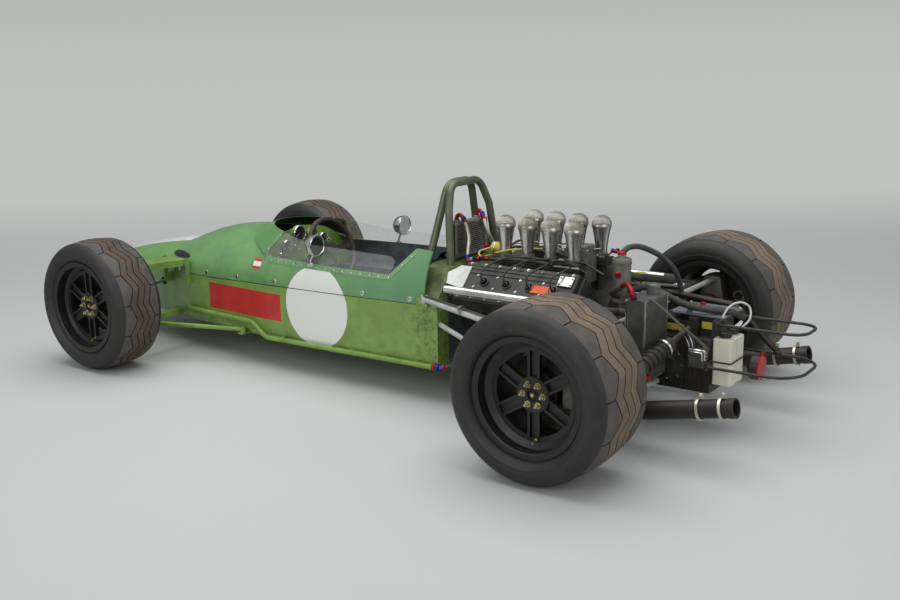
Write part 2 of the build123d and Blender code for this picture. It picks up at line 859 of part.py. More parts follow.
def steering_wheel():
    """Leather rim on three flat spokes, with the column."""
    plane = steering_frame()
    with BuildPart() as made:
        with BuildSketch(Plane(origin=plane.origin, x_dir=plane.z_dir, z_dir=plane.x_dir)) as grip:
            with Locations((0, 141)):
                Circle(12)
        column = Axis(plane.origin, plane.z_dir)
        revolve(grip.sketch, axis=column)
        with BuildSketch(plane) as spider:
            Circle(34)
            for angle in (0, 180, 270):
                with Locations(Location((0, 0, 0), (0, 0, angle))):
                    with Locations((70, 0)):
                        Rectangle(130, 24)
        extrude(spider.sketch, amount=4)
        with BuildSketch(plane) as shaft:
            Circle(11)
        extrude(shaft.sketch, amount=330)
    return made.part


def dash():
    """Instrument panel inside the scuttle, with its round dials and the column's bearing."""
    s = 1770
    plane = steering_frame()
    reach = (station(s) - plane.origin.X) / plane.z_dir.X
    with BuildPart() as made:
        add(block((s, s + 5), (-330, 330), (seam(s) + SEAT_GAP, 612)))
        add(cowl_solid(COWL_WALL + SEAT_GAP), mode=Mode.INTERSECT)
        with BuildSketch(Plane.YZ.offset(station(s))) as dials:
            for y, z, radius in ((44, 572, 38), (-44, 560, 30), (128, 528, 26), (-120, 528, 26), (168, 478, 22), (-168, 478, 22)):
                with Locations((y, z)):
                    Circle(radius)
        extrude(dials.sketch, amount=-14)
        with BuildSketch(plane.offset(reach - 30)) as boss:
            Circle(20)
        extrude(boss.sketch, amount=60)
        with BuildSketch(plane.offset(reach - 60)) as bore:
            Circle(11 + RUNNING_GAP)
        extrude(bore.sketch, amount=140, mode=Mode.SUBTRACT)
    return made.part


def mirrors():
    """Round bullet mirrors on short stems standing on the screen's sides."""
    s, y, z = 1425, 308, 588
    with BuildPart() as made:
        with BuildSketch(Plane(origin=(station(s), y, z), x_dir=(1, 0, 0), z_dir=(0, -1, 0))):
            with BuildLine():
                Polyline((-22, 0), (-22, 46), (-10, 46))
                ThreePointArc((-10, 46), (-10 + 46 * cos(pi / 4), 46 * sin(pi / 4)), (36, 0))
                Line((36, 0), (-22, 0))
            make_face()
        revolve(axis=Axis((station(s), y, z), (1, 0, 0)))
        add(rod((s, y, z - 30), (s, y + 22, 420), 6))
        add(clipped(cowl_solid(0), z=(300, SILL_HEIGHT + 1)), mode=Mode.SUBTRACT)
    left = made.part
    return both_sides(left)


def bank(side, low, high, half, s):
    """Box lying along one cylinder bank, from the crank's axis outward."""
    angle = side * BANK_ANGLE
    with BuildPart() as made:
        with Locations(
            Location((station(sum(s) / 2), 0, CRANK_HEIGHT), (-angle, 0, 0))
            * Location((0, 0, (low + high) / 2))
        ):
            Box(s[1] - s[0], 2 * half, high - low)
    return made.part


def bore_stations(side):
    """Stations of one bank's four cylinders."""
    middle = ENGINE_MIDDLE + side * BANK_STAGGER
    return [middle + (k - 1.5) * BORE_PITCH for k in range(4)]


def engine():
    """V8 block with its heads, sump and the intake stubs in the valley."""
    crankcase = block((ENGINE_REAR, ENGINE_FRONT), (-125, 125), (134, 360))
    banks = [bank(side, 60, HEAD_TOP, BANK_HALF, (170, 700)) for side in (-1, 1)]
    stubs, bars = [], []
    for side in (-1, 1):
        for s in bore_stations(side):
            y = side * TRUMPET_Y
            stubs.append(rod((s, y, 440), (s, y, 570), 23))
        first, last = bore_stations(side)[0], bore_stations(side)[-1]
        low, high = sorted((side * (TRUMPET_Y - 32), side * (TRUMPET_Y + 32)))
        bars.append(block((first - 40, last + 40), (low, high), (560, TRUMPET_FOOT)))
    return fused(crankcase, *banks, *stubs, *bars)


def cam_covers():
    """Black cover on each head with four plug wells."""
    covers = []
    for side in (-1, 1):
        with BuildPart() as cover:
            add(bank(side, HEAD_TOP, COVER_TOP, BANK_HALF, (180, 692)))
            fillet(cover.faces().sort_by(Axis((0, 0, 0), (0, side, 1)))[-1].edges(), 9)
            for s in bore_stations(side):
                with Locations(
                    Location((station(s), 0, CRANK_HEIGHT), (-side * BANK_ANGLE, 0, 0))
                    * Location((0, 0, COVER_TOP - 7))
                ):
                    Cylinder(15, 20, mode=Mode.SUBTRACT)
        covers.append(cover.part)
    return fused(*covers)


def trumpets():
    """Eight flared intake trumpets on the throttle bars."""
    with BuildPart() as one:
        with BuildSketch(Plane.XZ):
            with BuildLine():
                Polyline((22, 0), (26, 92))
                ThreePointArc((26, 92), (29, 112), (TRUMPET_LIP_RADIUS, TRUMPET_LIP - TRUMPET_FOOT))
                Line((TRUMPET_LIP_RADIUS, TRUMPET_LIP - TRUMPET_FOOT),
                     (TRUMPET_LIP_RADIUS - 3, TRUMPET_LIP - TRUMPET_FOOT))
                ThreePointArc((TRUMPET_LIP_RADIUS - 3, TRUMPET_LIP - TRUMPET_FOOT), (26, 112), (23.5, 92))
                Polyline((23.5, 92), (19.5, 0), (22, 0))
            make_face()
        revolve(axis=Axis.Z)
    return at_bores(one.part, TRUMPET_FOOT)


def at_bores(shape, z):
    """Copies of a shape over the eight intakes at one height."""
    copies = []
    for side in (-1, 1):
        for s in bore_stations(side):
            copies.append(shape.moved(Location((station(s), side * TRUMPET_Y, z))))
    return fused(*copies)


def screens():
    """Eight domed gauze screens over the trumpets' mouths."""
    height = DOME_TOP - TRUMPET_LIP
    radius = TRUMPET_LIP_RADIUS + 2
    band = 12
    centre = (height**2 - radius**2 - band**2) / (2 * (height - band))
    with BuildPart() as one:
        with Locations((0, 0, centre)):
            Sphere(height - centre)
        with Locations((0, 0, band / 2)):
            Cylinder(radius, band)
        with Locations((0, 0, centre)):
            Sphere(height - centre - 3, mode=Mode.SUBTRACT)
        with Locations((0, 0, (SEAT_GAP - 60) / 2)):
            Cylinder(radius + 40, 60 + SEAT_GAP, mode=Mode.SUBTRACT)
        with Locations((0, 0, 0)):
            Cylinder(radius - 4, 2 * (band + 3), mode=Mode.SUBTRACT)
    return at_bores(one.part, TRUMPET_LIP)


def injection():
    """Metering box, fuel filter and oil swirl pot over the valley and bell housing."""
    box = block((236, 330), (-48, 48), (500, 636))
    foot = block((250, 316), (-30, 30), (390, 501))
    pot = rod((86, 30, 452), (86, 30, 618), 36)
    stem = rod((86, 30, 370), (86, 30, 455), 14)
    cap = rod((86, 30, 616), (86, 30, 634), 16)
    with BuildPart() as made:
        add([box, foot, pot, stem, cap])
        add(gearbox(), mode=Mode.SUBTRACT)
        add([bank(side, 60, HEAD_TOP, BANK_HALF, (170, 700)) for side in (-1, 1)], mode=Mode.SUBTRACT)
    return made.part


def exhausts():
    """Four into one headers with their long tail pipes."""
    pipes = []
    gather = (118, 342, 150)
    bundle = ((24, 24), (24, -24), (-24, 24), (-24, -24))
    for s, (dy, dz) in zip(sorted(bore_stations(1), reverse=True), bundle):
        pipes.append(
            tube(
                (
                    (s, 226, 380),
                    (s, 322, 318),
                    (s - 60, 330 + dy / 2, 220 + dz),
                    (gather[0] + 60, gather[1] + dy * 0.6, gather[2] + dz * 0.6),
                    (gather[0] - 10, gather[1], gather[2]),
                ),
                20,
                bend=(28, 40, 40),
            )
        )
    tail = tube(
        ((gather[0] + 30, gather[1], gather[2]), (20, 352, 128), (-190, 379, 160), (-520, 379, 229)),
        33,
        bend=(120, 200),
    )
    end, run = (-520, 379, 229), hypot(330, 69)
    collar = tuple(e - (e - b) * SLEEVE / run for e, b in zip(end, (-190, 379, 160)))
    with BuildPart() as left:
        add(pipes)
        add(tail)
        add(rod(collar, end, 35))
        add(bank(1, 60, HEAD_TOP, BANK_HALF, (170, 700)), mode=Mode.SUBTRACT)
        add(rod((-400, 379, 203.9), (-521, 379, 229.3), 29), mode=Mode.SUBTRACT)
    return both_sides(left.part)


def gearbox():
    """Bell housing and five speed gearbox with its output bosses."""
    with BuildPart() as made:
        with BuildSketch(across(ENGINE_REAR)):
            with Locations((0, 270)):
                RectangleRounded(360, 260, 50)
        with BuildSketch(across(-30)):
            with Locations((0, (GEARBOX_FLOOR + GEARBOX_TOP) / 2)):
                RectangleRounded(2 * GEARBOX_HALF, GEARBOX_TOP - GEARBOX_FLOOR, 20)
        loft(ruled=True)
        add(block((GEARBOX_REAR, -30), (-GEARBOX_HALF, GEARBOX_HALF), (GEARBOX_FLOOR, GEARBOX_TOP)))
        add(cylinder_y(0, TYRE_RADIUS["rear"], 62, -GEARBOX_HALF - OUTPUT_REACH, GEARBOX_HALF + OUTPUT_REACH))
        for s, reach in ((60, 160), (-120, 125)):
            add(block((s - 18, s + 18), (-reach, reach), (174, 206)))
        for s in (-90, -150, -210, -270):
            add(block((s - 4, s + 4), (-GEARBOX_HALF - 10, GEARBOX_HALF + 10), (190, GEARBOX_TOP - 15)))
        add(block((-25, 25), (-70, 70), (GEARBOX_TOP - 1, TYRE_RADIUS["rear"] + 126)))
        add(block((ENGINE_REAR - 12, ENGINE_REAR), (-190, 190), (140, 400)))
    return made.part


def rear_links():
    """Upper and lower links between gearbox and upright, left side first."""
    upright_y = REAR_TRACK / 2 + HUB_FACE["rear"] - 140
    z = TYRE_RADIUS["rear"]
    upper = rod((0, 70, z + 110), (0, upright_y, z + 110), LINK_RADIUS)
    lower = []
    for s, root, tip in ((60, 160, 20), (-120, 125, -20)):
        with BuildPart() as link:
            add(rod((s, root - 30, 190), (tip, upright_y + 30, z - 118), LINK_RADIUS))
            add(block((-200, 200), (root + SEAT_GAP, upright_y - SEAT_GAP), (0, 600)), mode=Mode.INTERSECT)
        lower.append(link.part)
    return both_sides(upper, *lower)


def tail_hoops():
    """Plate behind the gearbox with two flat tube hoops that close the tail."""
    start = TAIL_PLATE[0] + 2
    end = -REAR_OVERHANG + TAIL_TUBE
    hoops = []
    for (half, z), bend in ((UPPER_TAIL, 60), (LOWER_TAIL, 110)):
        hoops.append(
            tube(((start, half, z), (end, half, z), (end, -half, z), (start, -half, z)), TAIL_TUBE, bend=bend)
        )
    upright = block(TAIL_PLATE, (-95, 95), (200, UPPER_TAIL[1] + 12))
    foot = block(TAIL_PLATE, (-160, 160), (LOWER_TAIL[1] - 14, LOWER_TAIL[1] + 14))
    return fused(*hoops, upright, foot)


def clipped(shape, s=(-2000, 4000), y=(-2000, 2000), z=(-100, 1500)):
    """The part of a shape within limits of station, y and height."""
    with BuildPart() as made:
        add(shape)
        add(block(s, y, z), mode=Mode.INTERSECT)
    return made.part


def radius_rods():
    """Long rods from the tub's rear corners to the rear uprights."""
    back = EAR[0][1] + SEAT_GAP
    upper = clipped(rod(*UPPER_ROD, 12), s=(back, 840))
    eye = rod((791, 354, CORNER_TOP - 15 + SEAT_GAP), (791, 354, CORNER_TOP + 14), 13)
    lower = clipped(rod(*LOWER_ROD, 10), s=(back, TUB_REAR - SEAT_GAP))
    return both_sides(fused(upper, eye), lower)


def dampers():
    """Rear spring and damper units, their springs as plain cylinders."""
    units = []
    stem = rod(*DAMPER, 13)
    a, b = DAMPER
    spring = rod(tuple(p + (q - p) * 0.2 for p, q in zip(a, b)), tuple(p + (q - p) * 0.82 for p, q in zip(a, b)), 30)
    return both_sides(clipped(fused(stem, spring), y=(74 + SEAT_GAP, REAR_TRACK / 2 + HUB_FACE["rear"] - 190 - SEAT_GAP)))


def damper_bridge():
    """Cross member over the gearbox that carries the dampers' tops."""
    s = DAMPER[0][0]
    return block((s - 16, s + 16), (-74, 74), (GEARBOX_TOP + SEAT_GAP, TRAY_TOP - 4))


def oil_tank():
    """Tall dry sump tank beside the gearbox with its filler and side fitting."""
    (s0, s1), (y0, y1), (z0, z1) = TANK
    with BuildPart() as made:
        with BuildSketch(Plane.XY.offset(z0)) as plan:
            with Locations((station((s0 + s1) / 2), (y0 + y1) / 2)):
                RectangleRounded(s1 - s0, y1 - y0, 12)
        extrude(plan.sketch, amount=z1 - z0)
        add(rod((s0 + 36, y0 + 52, z1 - 1), (s0 + 36, y0 + 52, z1 + 22), 24))
    return made.part


def battery():
    """Battery on the gearbox, under its plate, either side of the damper bridge."""
    rear = block((-300, DAMPER[0][0] - 16 - SEAT_GAP), (-118, 40), (GEARBOX_TOP + SEAT_GAP, TRAY_TOP))
    front = block((DAMPER[0][0] + 16 + SEAT_GAP, -30), (-70, 66), (GEARBOX_TOP + SEAT_GAP, TRAY_TOP - 20))
    return fused(rear, front)


def battery_plate():
    """Thin plate with an oval hole over the battery."""
    with BuildPart() as made:
        with BuildSketch(Plane.XY.offset(TRAY_TOP + SEAT_GAP)) as plan:
            with Locations((station(-232), -42)):
                RectangleRounded(216, 186, 14)
            with Locations((station(-205), -10)):
                SlotOverall(54, 24, mode=Mode.SUBTRACT)
        extrude(plan.sketch, amount=4)
    return made.part


def catch_bottles():
    """Two milky catch bottles with screw caps behind the tail plate."""
    with BuildPart() as made:
        for y in (8, 74):
            with BuildSketch(Plane.XY.offset(206)) as plan:
                with Locations((station(TAIL_PLATE[0] - 36 - SEAT_GAP), y)):
                    RectangleRounded(72, 62, 12)
            extrude(plan.sketch, amount=168)
            add(rod((TAIL_PLATE[0] - 36, y, 373), (TAIL_PLATE[0] - 36, y, 398), 19))
    return made.part


def tail_lamp():
    """Round lamp facing rearward on its arm from the lower hoop."""
    s, y, z = -436, -92, 236
    half, tube_z = LOWER_TAIL
    with BuildPart() as made:
        add(rod((s, y, z), (s + 34, y, z), 47))
        add(rod((s + 18, y - 30, z + 20), (s + 18, -half, tube_z), 7))
        add(rod((s - 60, -half, tube_z), (s + 90, -half, tube_z), TAIL_TUBE + RUNNING_GAP), mode=Mode.SUBTRACT)
    return Part() + made.solids().sort_by(SortBy.VOLUME)[-1]


def water_rails():
    """White coolant rails along both heads, on short stays."""
    rail = rod((704, RAIL_Y, RAIL_Z), (70, RAIL_Y, RAIL_Z), RAIL_RADIUS)
    stays = []
    for s in (620, 220):
        stays.append(rod((s, RAIL_Y, RAIL_Z), (s, RAIL_Y - 60, RAIL_Z - 60), 7))
    with BuildPart() as made:
        add([rail, *stays])
        add(bank(1, 60, COVER_TOP + SEAT_GAP, BANK_HALF + 30, (160, 710)), mode=Mode.SUBTRACT)
    return both_sides(made.part)


def coolant_hoses():
    """Hoses from the rails' rear ends to the oil tank and the swirl pot."""
    (_, s1), _, _ = TANK
    left = tube(
        ((70 - SEAT_GAP, RAIL_Y, RAIL_Z), (0, RAIL_Y, RAIL_Z), (-20, 262, 470), (s1 + SEAT_GAP, 262, 470)),
        15,
        bend=(34, 18),
    )
    right = tube(
        (
            (70 - SEAT_GAP, -RAIL_Y, RAIL_Z),
            (10, -RAIL_Y, RAIL_Z),
            (-20, -200, 500),
            (40, -20, 540),
            (66, 0, 545),
        ),
        15,
        bend=(50, 60, 12),
    )
    with BuildPart() as made:
        add([left, right])
        add(rod((86, 30, 400), (86, 30, 640), 36 + SEAT_GAP), mode=Mode.SUBTRACT)
    return made.part


def side_pipes():
    """Green coolant pipes along the tub's lower edges."""
    points = (
        (752, 356, 158),
        (1700, 351, 146),
        (1790, 346, 206),
        (2240, 316, 206),
        (2310, 262, 206),
    )
    pipe = tube(points, 11, bend=(60, 60, 40))
    clips = [block((s - 8, s + 8), (318, 352), (150, 160)) for s in (800, 1200, 1600)]
    with BuildPart() as made:
        add([pipe, *clips])
        add(tub(), mode=Mode.SUBTRACT)
    return both_sides(made.part)


def engine_plates():
    """White triangular plates from the bulkhead to the front of the cam covers."""
    face = COVER_TOP + SEAT_GAP
    with BuildPart() as made:
        with BuildSketch(
            Plane(
                origin=(station(692), face * sin(radians(45)), CRANK_HEIGHT + face * cos(radians(45))),
                x_dir=(1, 0, 0),
                z_dir=(0, sin(radians(45)), cos(radians(45))),
            )
        ) as outline:
            with BuildLine():
                Polyline((-34, 44), (-34, -62), (16, -62), (92, 0), (92, 22), close=True)
            make_face()
        extrude(outline.sketch, amount=5)
        add(bulkhead(), mode=Mode.SUBTRACT)
    return both_sides(made.part)


def tail_brace():
    """Dark brace on the right from the engine's rear to the lower tail hoop."""
    half, z = LOWER_TAIL
    brace = tube(((190, -123, 488), (-290, -176, 440), (-480, -half, z)), 12, bend=70)
    with BuildPart() as made:
        add(clipped(brace, s=(-600, 170 - SEAT_GAP), z=(z, 600)))
        add(rod((-540, -half, z), (-300, -half, z), TAIL_TUBE + RUNNING_GAP), mode=Mode.SUBTRACT)
    return made.part


nodes = {
    "monocoque": tub(),
    "cockpit_cowl": cowl(),
    "nose_cone": nose(),
    "wind_screen": wind_screen(),
    "radiator": radiator(),
    "rack_housing": rack_housing(),
    "rack_and_tie_rods": rack(),
    "rear_bulkhead": bulkhead(),
    "roll_hoops": roll_hoop(),
    "oil_cooler": oil_cooler(),
    "seat": seat(),
    "steering_wheel": steering_wheel(),
    "instrument_panel": dash(),
    "mirrors": mirrors(),
    "engine": engine(),
    "cam_covers": cam_covers(),
    "intake_trumpets": trumpets(),
    "intake_screens": screens(),
    "injection_gear": injection(),
    "exhausts": exhausts(),
    "gearbox": gearbox(),
    "rear_links": rear_links(),
    "tail_hoops": tail_hoops(),
    "radius_rods": radius_rods(),
    "rear_dampers": dampers(),
    "damper_bridge": damper_bridge(),
    "oil_tank": oil_tank(),
    "battery": battery(),
    "battery_plate": battery_plate(),
    "catch_bottles": catch_bottles(),
    "tail_lamp": tail_lamp(),
    "water_rails": water_rails(),
    "coolant_hoses": coolant_hoses(),
    "side_pipes": side_pipes(),
    "engine_plates": engine_plates(),
    "tail_brace": tail_brace(),
    "front_rocker_arms": both_sides(rocker_arm()),
    "front_lower_arms": both_sides(lower_arm()),
    "rear_uprights": both_sides(place_wheel(rear_upright(), "rear", "left")),
}

for side in ("left", "right"):
    nodes[f"front_knuckle_{side}"] = place_wheel(knuckle(), "front", side)
    nodes[f"front_hub_{side}"] = place_wheel(front_hub(), "front", side)
    nodes[f"rear_drive_{side}"] = place_wheel(rear_drive(), "rear", side)
    for axle in ("front", "rear"):
        nodes[f"{axle}_tyre_{side}"] = place_wheel(tyre(axle), axle, side)
        nodes[f"{axle}_wheel_{side}"] = place_wheel(wheel(axle), axle, side)

os.makedirs("parts", exist_ok=True)
for name, shape in nodes.items():
    with BuildPart() as piece:
        add(shape)
    piece.part.label = name
    export_step(piece.part, f"parts/{name}.step")
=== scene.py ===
from math import atan2, cos, hypot, pi, radians, sin, sqrt

import bpy
from mathutils import Matrix, Vector
from mathutils.bvhtree import BVHTree


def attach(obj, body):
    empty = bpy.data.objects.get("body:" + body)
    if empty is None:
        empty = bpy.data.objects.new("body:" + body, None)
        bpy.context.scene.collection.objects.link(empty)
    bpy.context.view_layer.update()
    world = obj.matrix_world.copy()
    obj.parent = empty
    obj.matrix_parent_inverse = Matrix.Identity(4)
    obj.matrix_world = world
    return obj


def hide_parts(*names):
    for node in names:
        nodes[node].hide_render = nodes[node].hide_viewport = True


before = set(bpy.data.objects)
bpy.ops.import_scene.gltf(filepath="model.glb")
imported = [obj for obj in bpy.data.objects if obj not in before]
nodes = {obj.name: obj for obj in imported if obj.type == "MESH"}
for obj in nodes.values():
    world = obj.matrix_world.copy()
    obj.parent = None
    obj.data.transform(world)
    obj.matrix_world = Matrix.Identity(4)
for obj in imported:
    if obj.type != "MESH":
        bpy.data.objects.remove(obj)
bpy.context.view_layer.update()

# Stations run forward in mm from the rear axle, this far behind the box's middle.
REAR_AXLE = 1244
# The painted hood over the gauges starts where X + HOOD_LEAN * Z passes HOOD_EDGE, in metres.
HOOD_LEAN = 0.5
HOOD_EDGE = 0.506 + HOOD_LEAN * 0.505
# Number roundel on both sides: station, height and radius.
ROUNDEL = (1397, 320, 180)
# Fall of the seam between tub and cowl per unit of length.
SEAM_SLOPE = 0.0228
# Way in which the camera looks, seen from above.
VIEW_X, VIEW_Y = 0.585, -0.811
# Wheels in mm: centre s, y, z; tyre radius R and width; rim width; face of the hub from the centre;
# and the tread's grooves, their pitch and swing, and the periods of the zigzag round the tyre.
FRONT = dict(s=2370, y=721, z=297, R=297, width=250, rim=220, face=45, grooves=4, pitch=33,
    swing=15, periods=13)
REAR = dict(s=0, y=732, z=306, R=306, width=342, rim=290, face=70, grooves=4, pitch=46, swing=22,
    periods=13)
CORNERS = (("front_left", FRONT, 1), ("front_right", FRONT, -1), ("rear_left", REAR, 1),
    ("rear_right", REAR, -1))


def P(s, y, z):
    """Row frame point in metres of a station, side and height in mm."""
    return Vector(((s - REAR_AXLE) / 1000, y / 1000, z / 1000))


# Meshes


class Mesh:
    """Points, faces and finish numbers, gathered in mm and turned into one object."""

    def __init__(self):
        self.points, self.faces, self.finish = [], [], []

    def grid(self, rows, finish=0, close_u=False, close_v=False, caps=False):
        """Skin over rows of points. close_u joins last row to first, close_v closes each row."""
        n, m, first = len(rows), len(rows[0]), len(self.points)
        faces = [(i * m + j, i * m + (j + 1) % m, (i + 1) % n * m + (j + 1) % m,
            (i + 1) % n * m + j) for i in range(n if close_u else n - 1)
            for j in range(m if close_v else m - 1)]
        if caps:
            faces += [range(m)[::-1], range((n - 1) * m, n * m)]
        self.points += [Vector(p) for row in rows for p in row]
        self.faces += [[first + i for i in f] for f in faces]
        self.finish += [finish] * len(faces)

    def tube(self, path, radius, sides=10, finish=0, closed=False):
        """Round bar along a path, its section kept from twisting."""
        path, rows, up = [Vector(p) for p in path], [], None
        n = len(path)
        for i, p in enumerate(path):
            a = path[i - 1] if i or closed else p
            b = path[(i + 1) % n] if i < n - 1 or closed else p
            way = (b - a).normalized()
            if up is None:
                up = way.orthogonal().normalized()
            up = (up - way * up.dot(way)).normalized()
            side = way.cross(up)
            angles = (2 * pi * k / sides for k in range(sides))
            rows.append([p + (up * cos(t) + side * sin(t)) * radius for t in angles])
        self.grid(rows, finish, close_u=closed, close_v=True, caps=not closed)

    def hose(self, points, radius, sides=10, finish=0, per=8):
        """Tube on a smooth run through given points."""
        self.tube(bent(points, per), radius, sides, finish)

    def turned(self, place, profile, sides=24, finish=0, closed=False):
        """Profile of (radius, height) turned round the local z of a placement."""
        m, first = len(profile), len(self.points)
        rows = [[place @ Vector((r * cos(a), r * sin(a), h)) for r, h in profile[::-1]]
            for a in (2 * pi * k / sides for k in range(sides))]
        self.grid(rows, finish, close_u=True, close_v=closed)
        if not closed:
            for j, flip in ((0, 1), (m - 1, -1)):
                if profile[j][0] > 0.01:
                    ring = [first + k * m + (m - 1 - j) for k in range(sides)]
                    self.faces.append(ring[::-flip])
                    self.finish.append(finish)

    def band(self, place, inner, outer, low, high, sides=24, finish=0):
        """Square ring round the local z of a placement."""
        profile = [(inner, low), (outer, low), (outer, high), (inner, high)]
        self.turned(place, profile, sides, finish, closed=True)

    def block(self, place, size, finish=0, edge=None):
        """Box with chamfered edges about a placement's origin."""
        x, y, z = (v / 2 for v in size)
        e = min(x, y, z) * 0.25 if edge is None else edge
        rows = []
        for h, d in ((-z, e), (-z + e, 0), (z - e, 0), (z, e)):
            a, b = x - d, y - d
            ring = ((a, -b + e), (a, b - e), (a - e, b), (-a + e, b), (-a, b - e), (-a, -b + e),
                (-a + e, -b), (a - e, -b))
            rows.append([place @ Vector((u, v, h)) for u, v in ring])
        self.grid(rows, finish, close_v=True, caps=True)

    def build(self, name, body, finishes, slot, angle=32, local=None):
        """Object riding on a body. Points are in the row frame, or in mm in a local placement."""
        data = bpy.data.meshes.new(name)
        points = [p / 1000 if local else P(*p) for p in self.points]
        data.from_pydata(points, [], self.faces)
        for finish in finishes:
            data.materials.append(finish)
        data.polygons.foreach_set("material_index", self.finish)
        data.polygons.foreach_set("use_smooth", [True] * len(self.faces))
        data.validate()
        data.set_sharp_from_angle(angle=radians(angle))
        obj = link(name, data)
        if local:
            obj.matrix_world = local
        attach(obj, body)
        return obj


def link(name, data):
    """New object in the scene."""
    obj = bpy.data.objects.new(name, data)
    bpy.context.scene.collection.objects.link(obj)
    return obj


def at(s, y, z, axis=(0, 0, 1), turn=0):
    """Placement in mm with its local z along an axis."""
    spin = Vector((0, 0, 1)).rotation_difference(Vector(axis)).to_matrix().to_4x4()
    return Matrix.Translation(Vector((s, y, z))) @ spin @ Matrix.Rotation(radians(turn), 4, "Z")


def bent(points, per=8):
    """Smooth run through given points, per steps between two of them."""
    points = [Vector(p) for p in points]
    points = [points[0], *points, points[-1]]
    out = []
    for a, b, c, d in zip(points, points[1:], points[2:], points[3:]):
        for t in (k / per for k in range(per)):
            square, cube = 2 * a - 5 * b + 4 * c - d, 3 * b - a - 3 * c + d
            out.append(0.5 * (2 * b + (c - a) * t + square * t * t + cube * t ** 3))
    return out + [points[-1]]


def split(path, length):
    """A plane path cut into steps of about a length, without its last point."""
    out = []
    for (a, b), (c, d) in zip(path, path[1:]):
        steps = max(1, int(hypot(c - a, d - b) / length))
        out += [(a + (c - a) * k / steps, b + (d - b) * k / steps) for k in range(steps)]
    return out


def around(count, r):
    """Angle and offsets of places spaced evenly on a circle."""
    return [(a, r * cos(a), r * sin(a)) for a in (2 * pi * k / count for k in range(count))]


def knob(r, high, top, shoulder):
    """Closed profile of a disc or cap whose upper edge is bevelled."""
    return [(0.001, high), (top, high), (r, shoulder), (r, 0)]


def corner(spec, sign):
    """Placement of a wheel's centre, its y pointing out of the car."""
    place = Matrix.Translation(P(spec["s"], sign * spec["y"], spec["z"]))
    return place if sign > 0 else place @ Matrix.Rotation(pi, 4, "Z")


# Finishes


def rgb(code):
    """Linear colour of a screen colour's hex code."""
    parts = [int(code[k : k + 2], 16) / 255 for k in (0, 2, 4)]
    return tuple(c / 12.92 if c < 0.0432 else ((c + 0.055) / 1.055) ** 2.4 for c in parts) + (1,)


class Finish:
    """Node graph of one material, in the object's own coordinates."""

    def __init__(self, name, rough=0.5, metal=0.0, **sockets):
        self.mat = bpy.data.materials.new(name)
        self.mat.use_nodes = True
        self.tree = self.mat.node_tree
        self.tree.nodes.clear()
        self.shader = self.tree.nodes.new("ShaderNodeBsdfPrincipled")
        self.out = self.tree.nodes.new("ShaderNodeOutputMaterial").inputs["Surface"]
        self.put(self.out, self.shader.outputs[0])
        self.give(Roughness=rough, Metallic=metal, **sockets)
        self.where = self.tree.nodes.new("ShaderNodeTexCoord").outputs["Object"]
        self.x, self.y, self.z = self.new("ShaderNodeSeparateXYZ", Vector=self.where).outputs

    def put(self, socket, value):
        if isinstance(value, bpy.types.NodeSocket):
            self.tree.links.new(value, socket)
        else:
            socket.default_value = value

    def give(self, **sockets):
        """Set or link the shader's inputs by name."""
        for key, value in sockets.items():
            self.put(self.shader.inputs[key.replace("_", " ")], value)

    def new(self, kind, props=(), **inputs):
        """Node with properties, and inputs by name or as _number."""
        made = self.tree.nodes.new(kind)
        for key, value in dict(props).items():
            setattr(made, key, value)
        for key, value in inputs.items():
            self.put(made.inputs[int(key[1:]) if key[0] == "_" else key], value)
        return made

    def calc(self, op, a, b=0.0, clamp=False):
        props = {"operation": op, "use_clamp": clamp}
        return self.new("ShaderNodeMath", props, _0=a, _1=b).outputs[0]

    def both(self, a, b):
        return self.calc("MULTIPLY", a, b)

    def noise(self, scale, detail=3.0, rough=0.55):
        inputs = dict(Vector=self.where, Scale=scale, Detail=detail, Roughness=rough)
        return self.new("ShaderNodeTexNoise", **inputs).outputs["Fac"]

    def ramp(self, value, low, high):
        """0 below low to 1 above high, or the other way where high is lower."""
        ends = (1.0, 0.0) if high < low else (0.0, 1.0)
        return self.new("ShaderNodeMapRange", {"interpolation_type": "SMOOTHSTEP"}, Value=value,
            _1=min(low, high), _2=max(low, high), _3=ends[0], _4=ends[1]).outputs[0]

    def within(self, value, low, high, soft=0.0006):
        rise = self.ramp(value, low - soft, low + soft)
        return self.both(rise, self.ramp(value, high + soft, high - soft))

    def mix(self, factor, a, b):
        return self.new("ShaderNodeMix", {"data_type": "RGBA"}, _0=factor, _6=a, _7=b).outputs[2]

    def bump(self, height, distance, strength):
        inputs = dict(Height=height, Distance=distance, Strength=strength)
        return self.new("ShaderNodeBump", **inputs).outputs[0]

    def normal(self, axis):
        """One part of the object's own normal."""
        normal = self.new("ShaderNodeTexCoord").outputs["Normal"]
        return self.new("ShaderNodeSeparateXYZ", Vector=normal).outputs[axis]


def worn(name, base, shade, rough=0.45, metal=0.0, dirt="5c5242", dirty=0.35, grain=0.0004,
        scale=60.0, spots=0.0, marks=None, **more):
    """Painted, cast, moulded or rubber surface with grime, mottling and fine grain."""
    f = Finish(name, rough, metal, **more)
    tone = f.mix(f.ramp(f.noise(7.0, 4.0), 0.35, 0.65), rgb(base), rgb(shade))
    grime = f.both(f.ramp(f.noise(23.0, 6.0, 0.7), 0.42, 0.72), dirty)
    tone = f.mix(grime, tone, rgb(dirt))
    if spots:
        tone = f.mix(f.both(f.ramp(f.noise(420.0, 2.0), 0.66, 0.72), spots), tone, rgb(dirt))
    if marks:
        tone = marks(f, tone)
    dull = f.calc("ADD", rough - 0.06, f.both(f.noise(31.0, 5.0), 0.22), clamp=True)
    f.give(Base_Color=tone, Roughness=dull, Normal=f.bump(f.noise(scale, 4.0), grain, 0.6))
    return f.mat


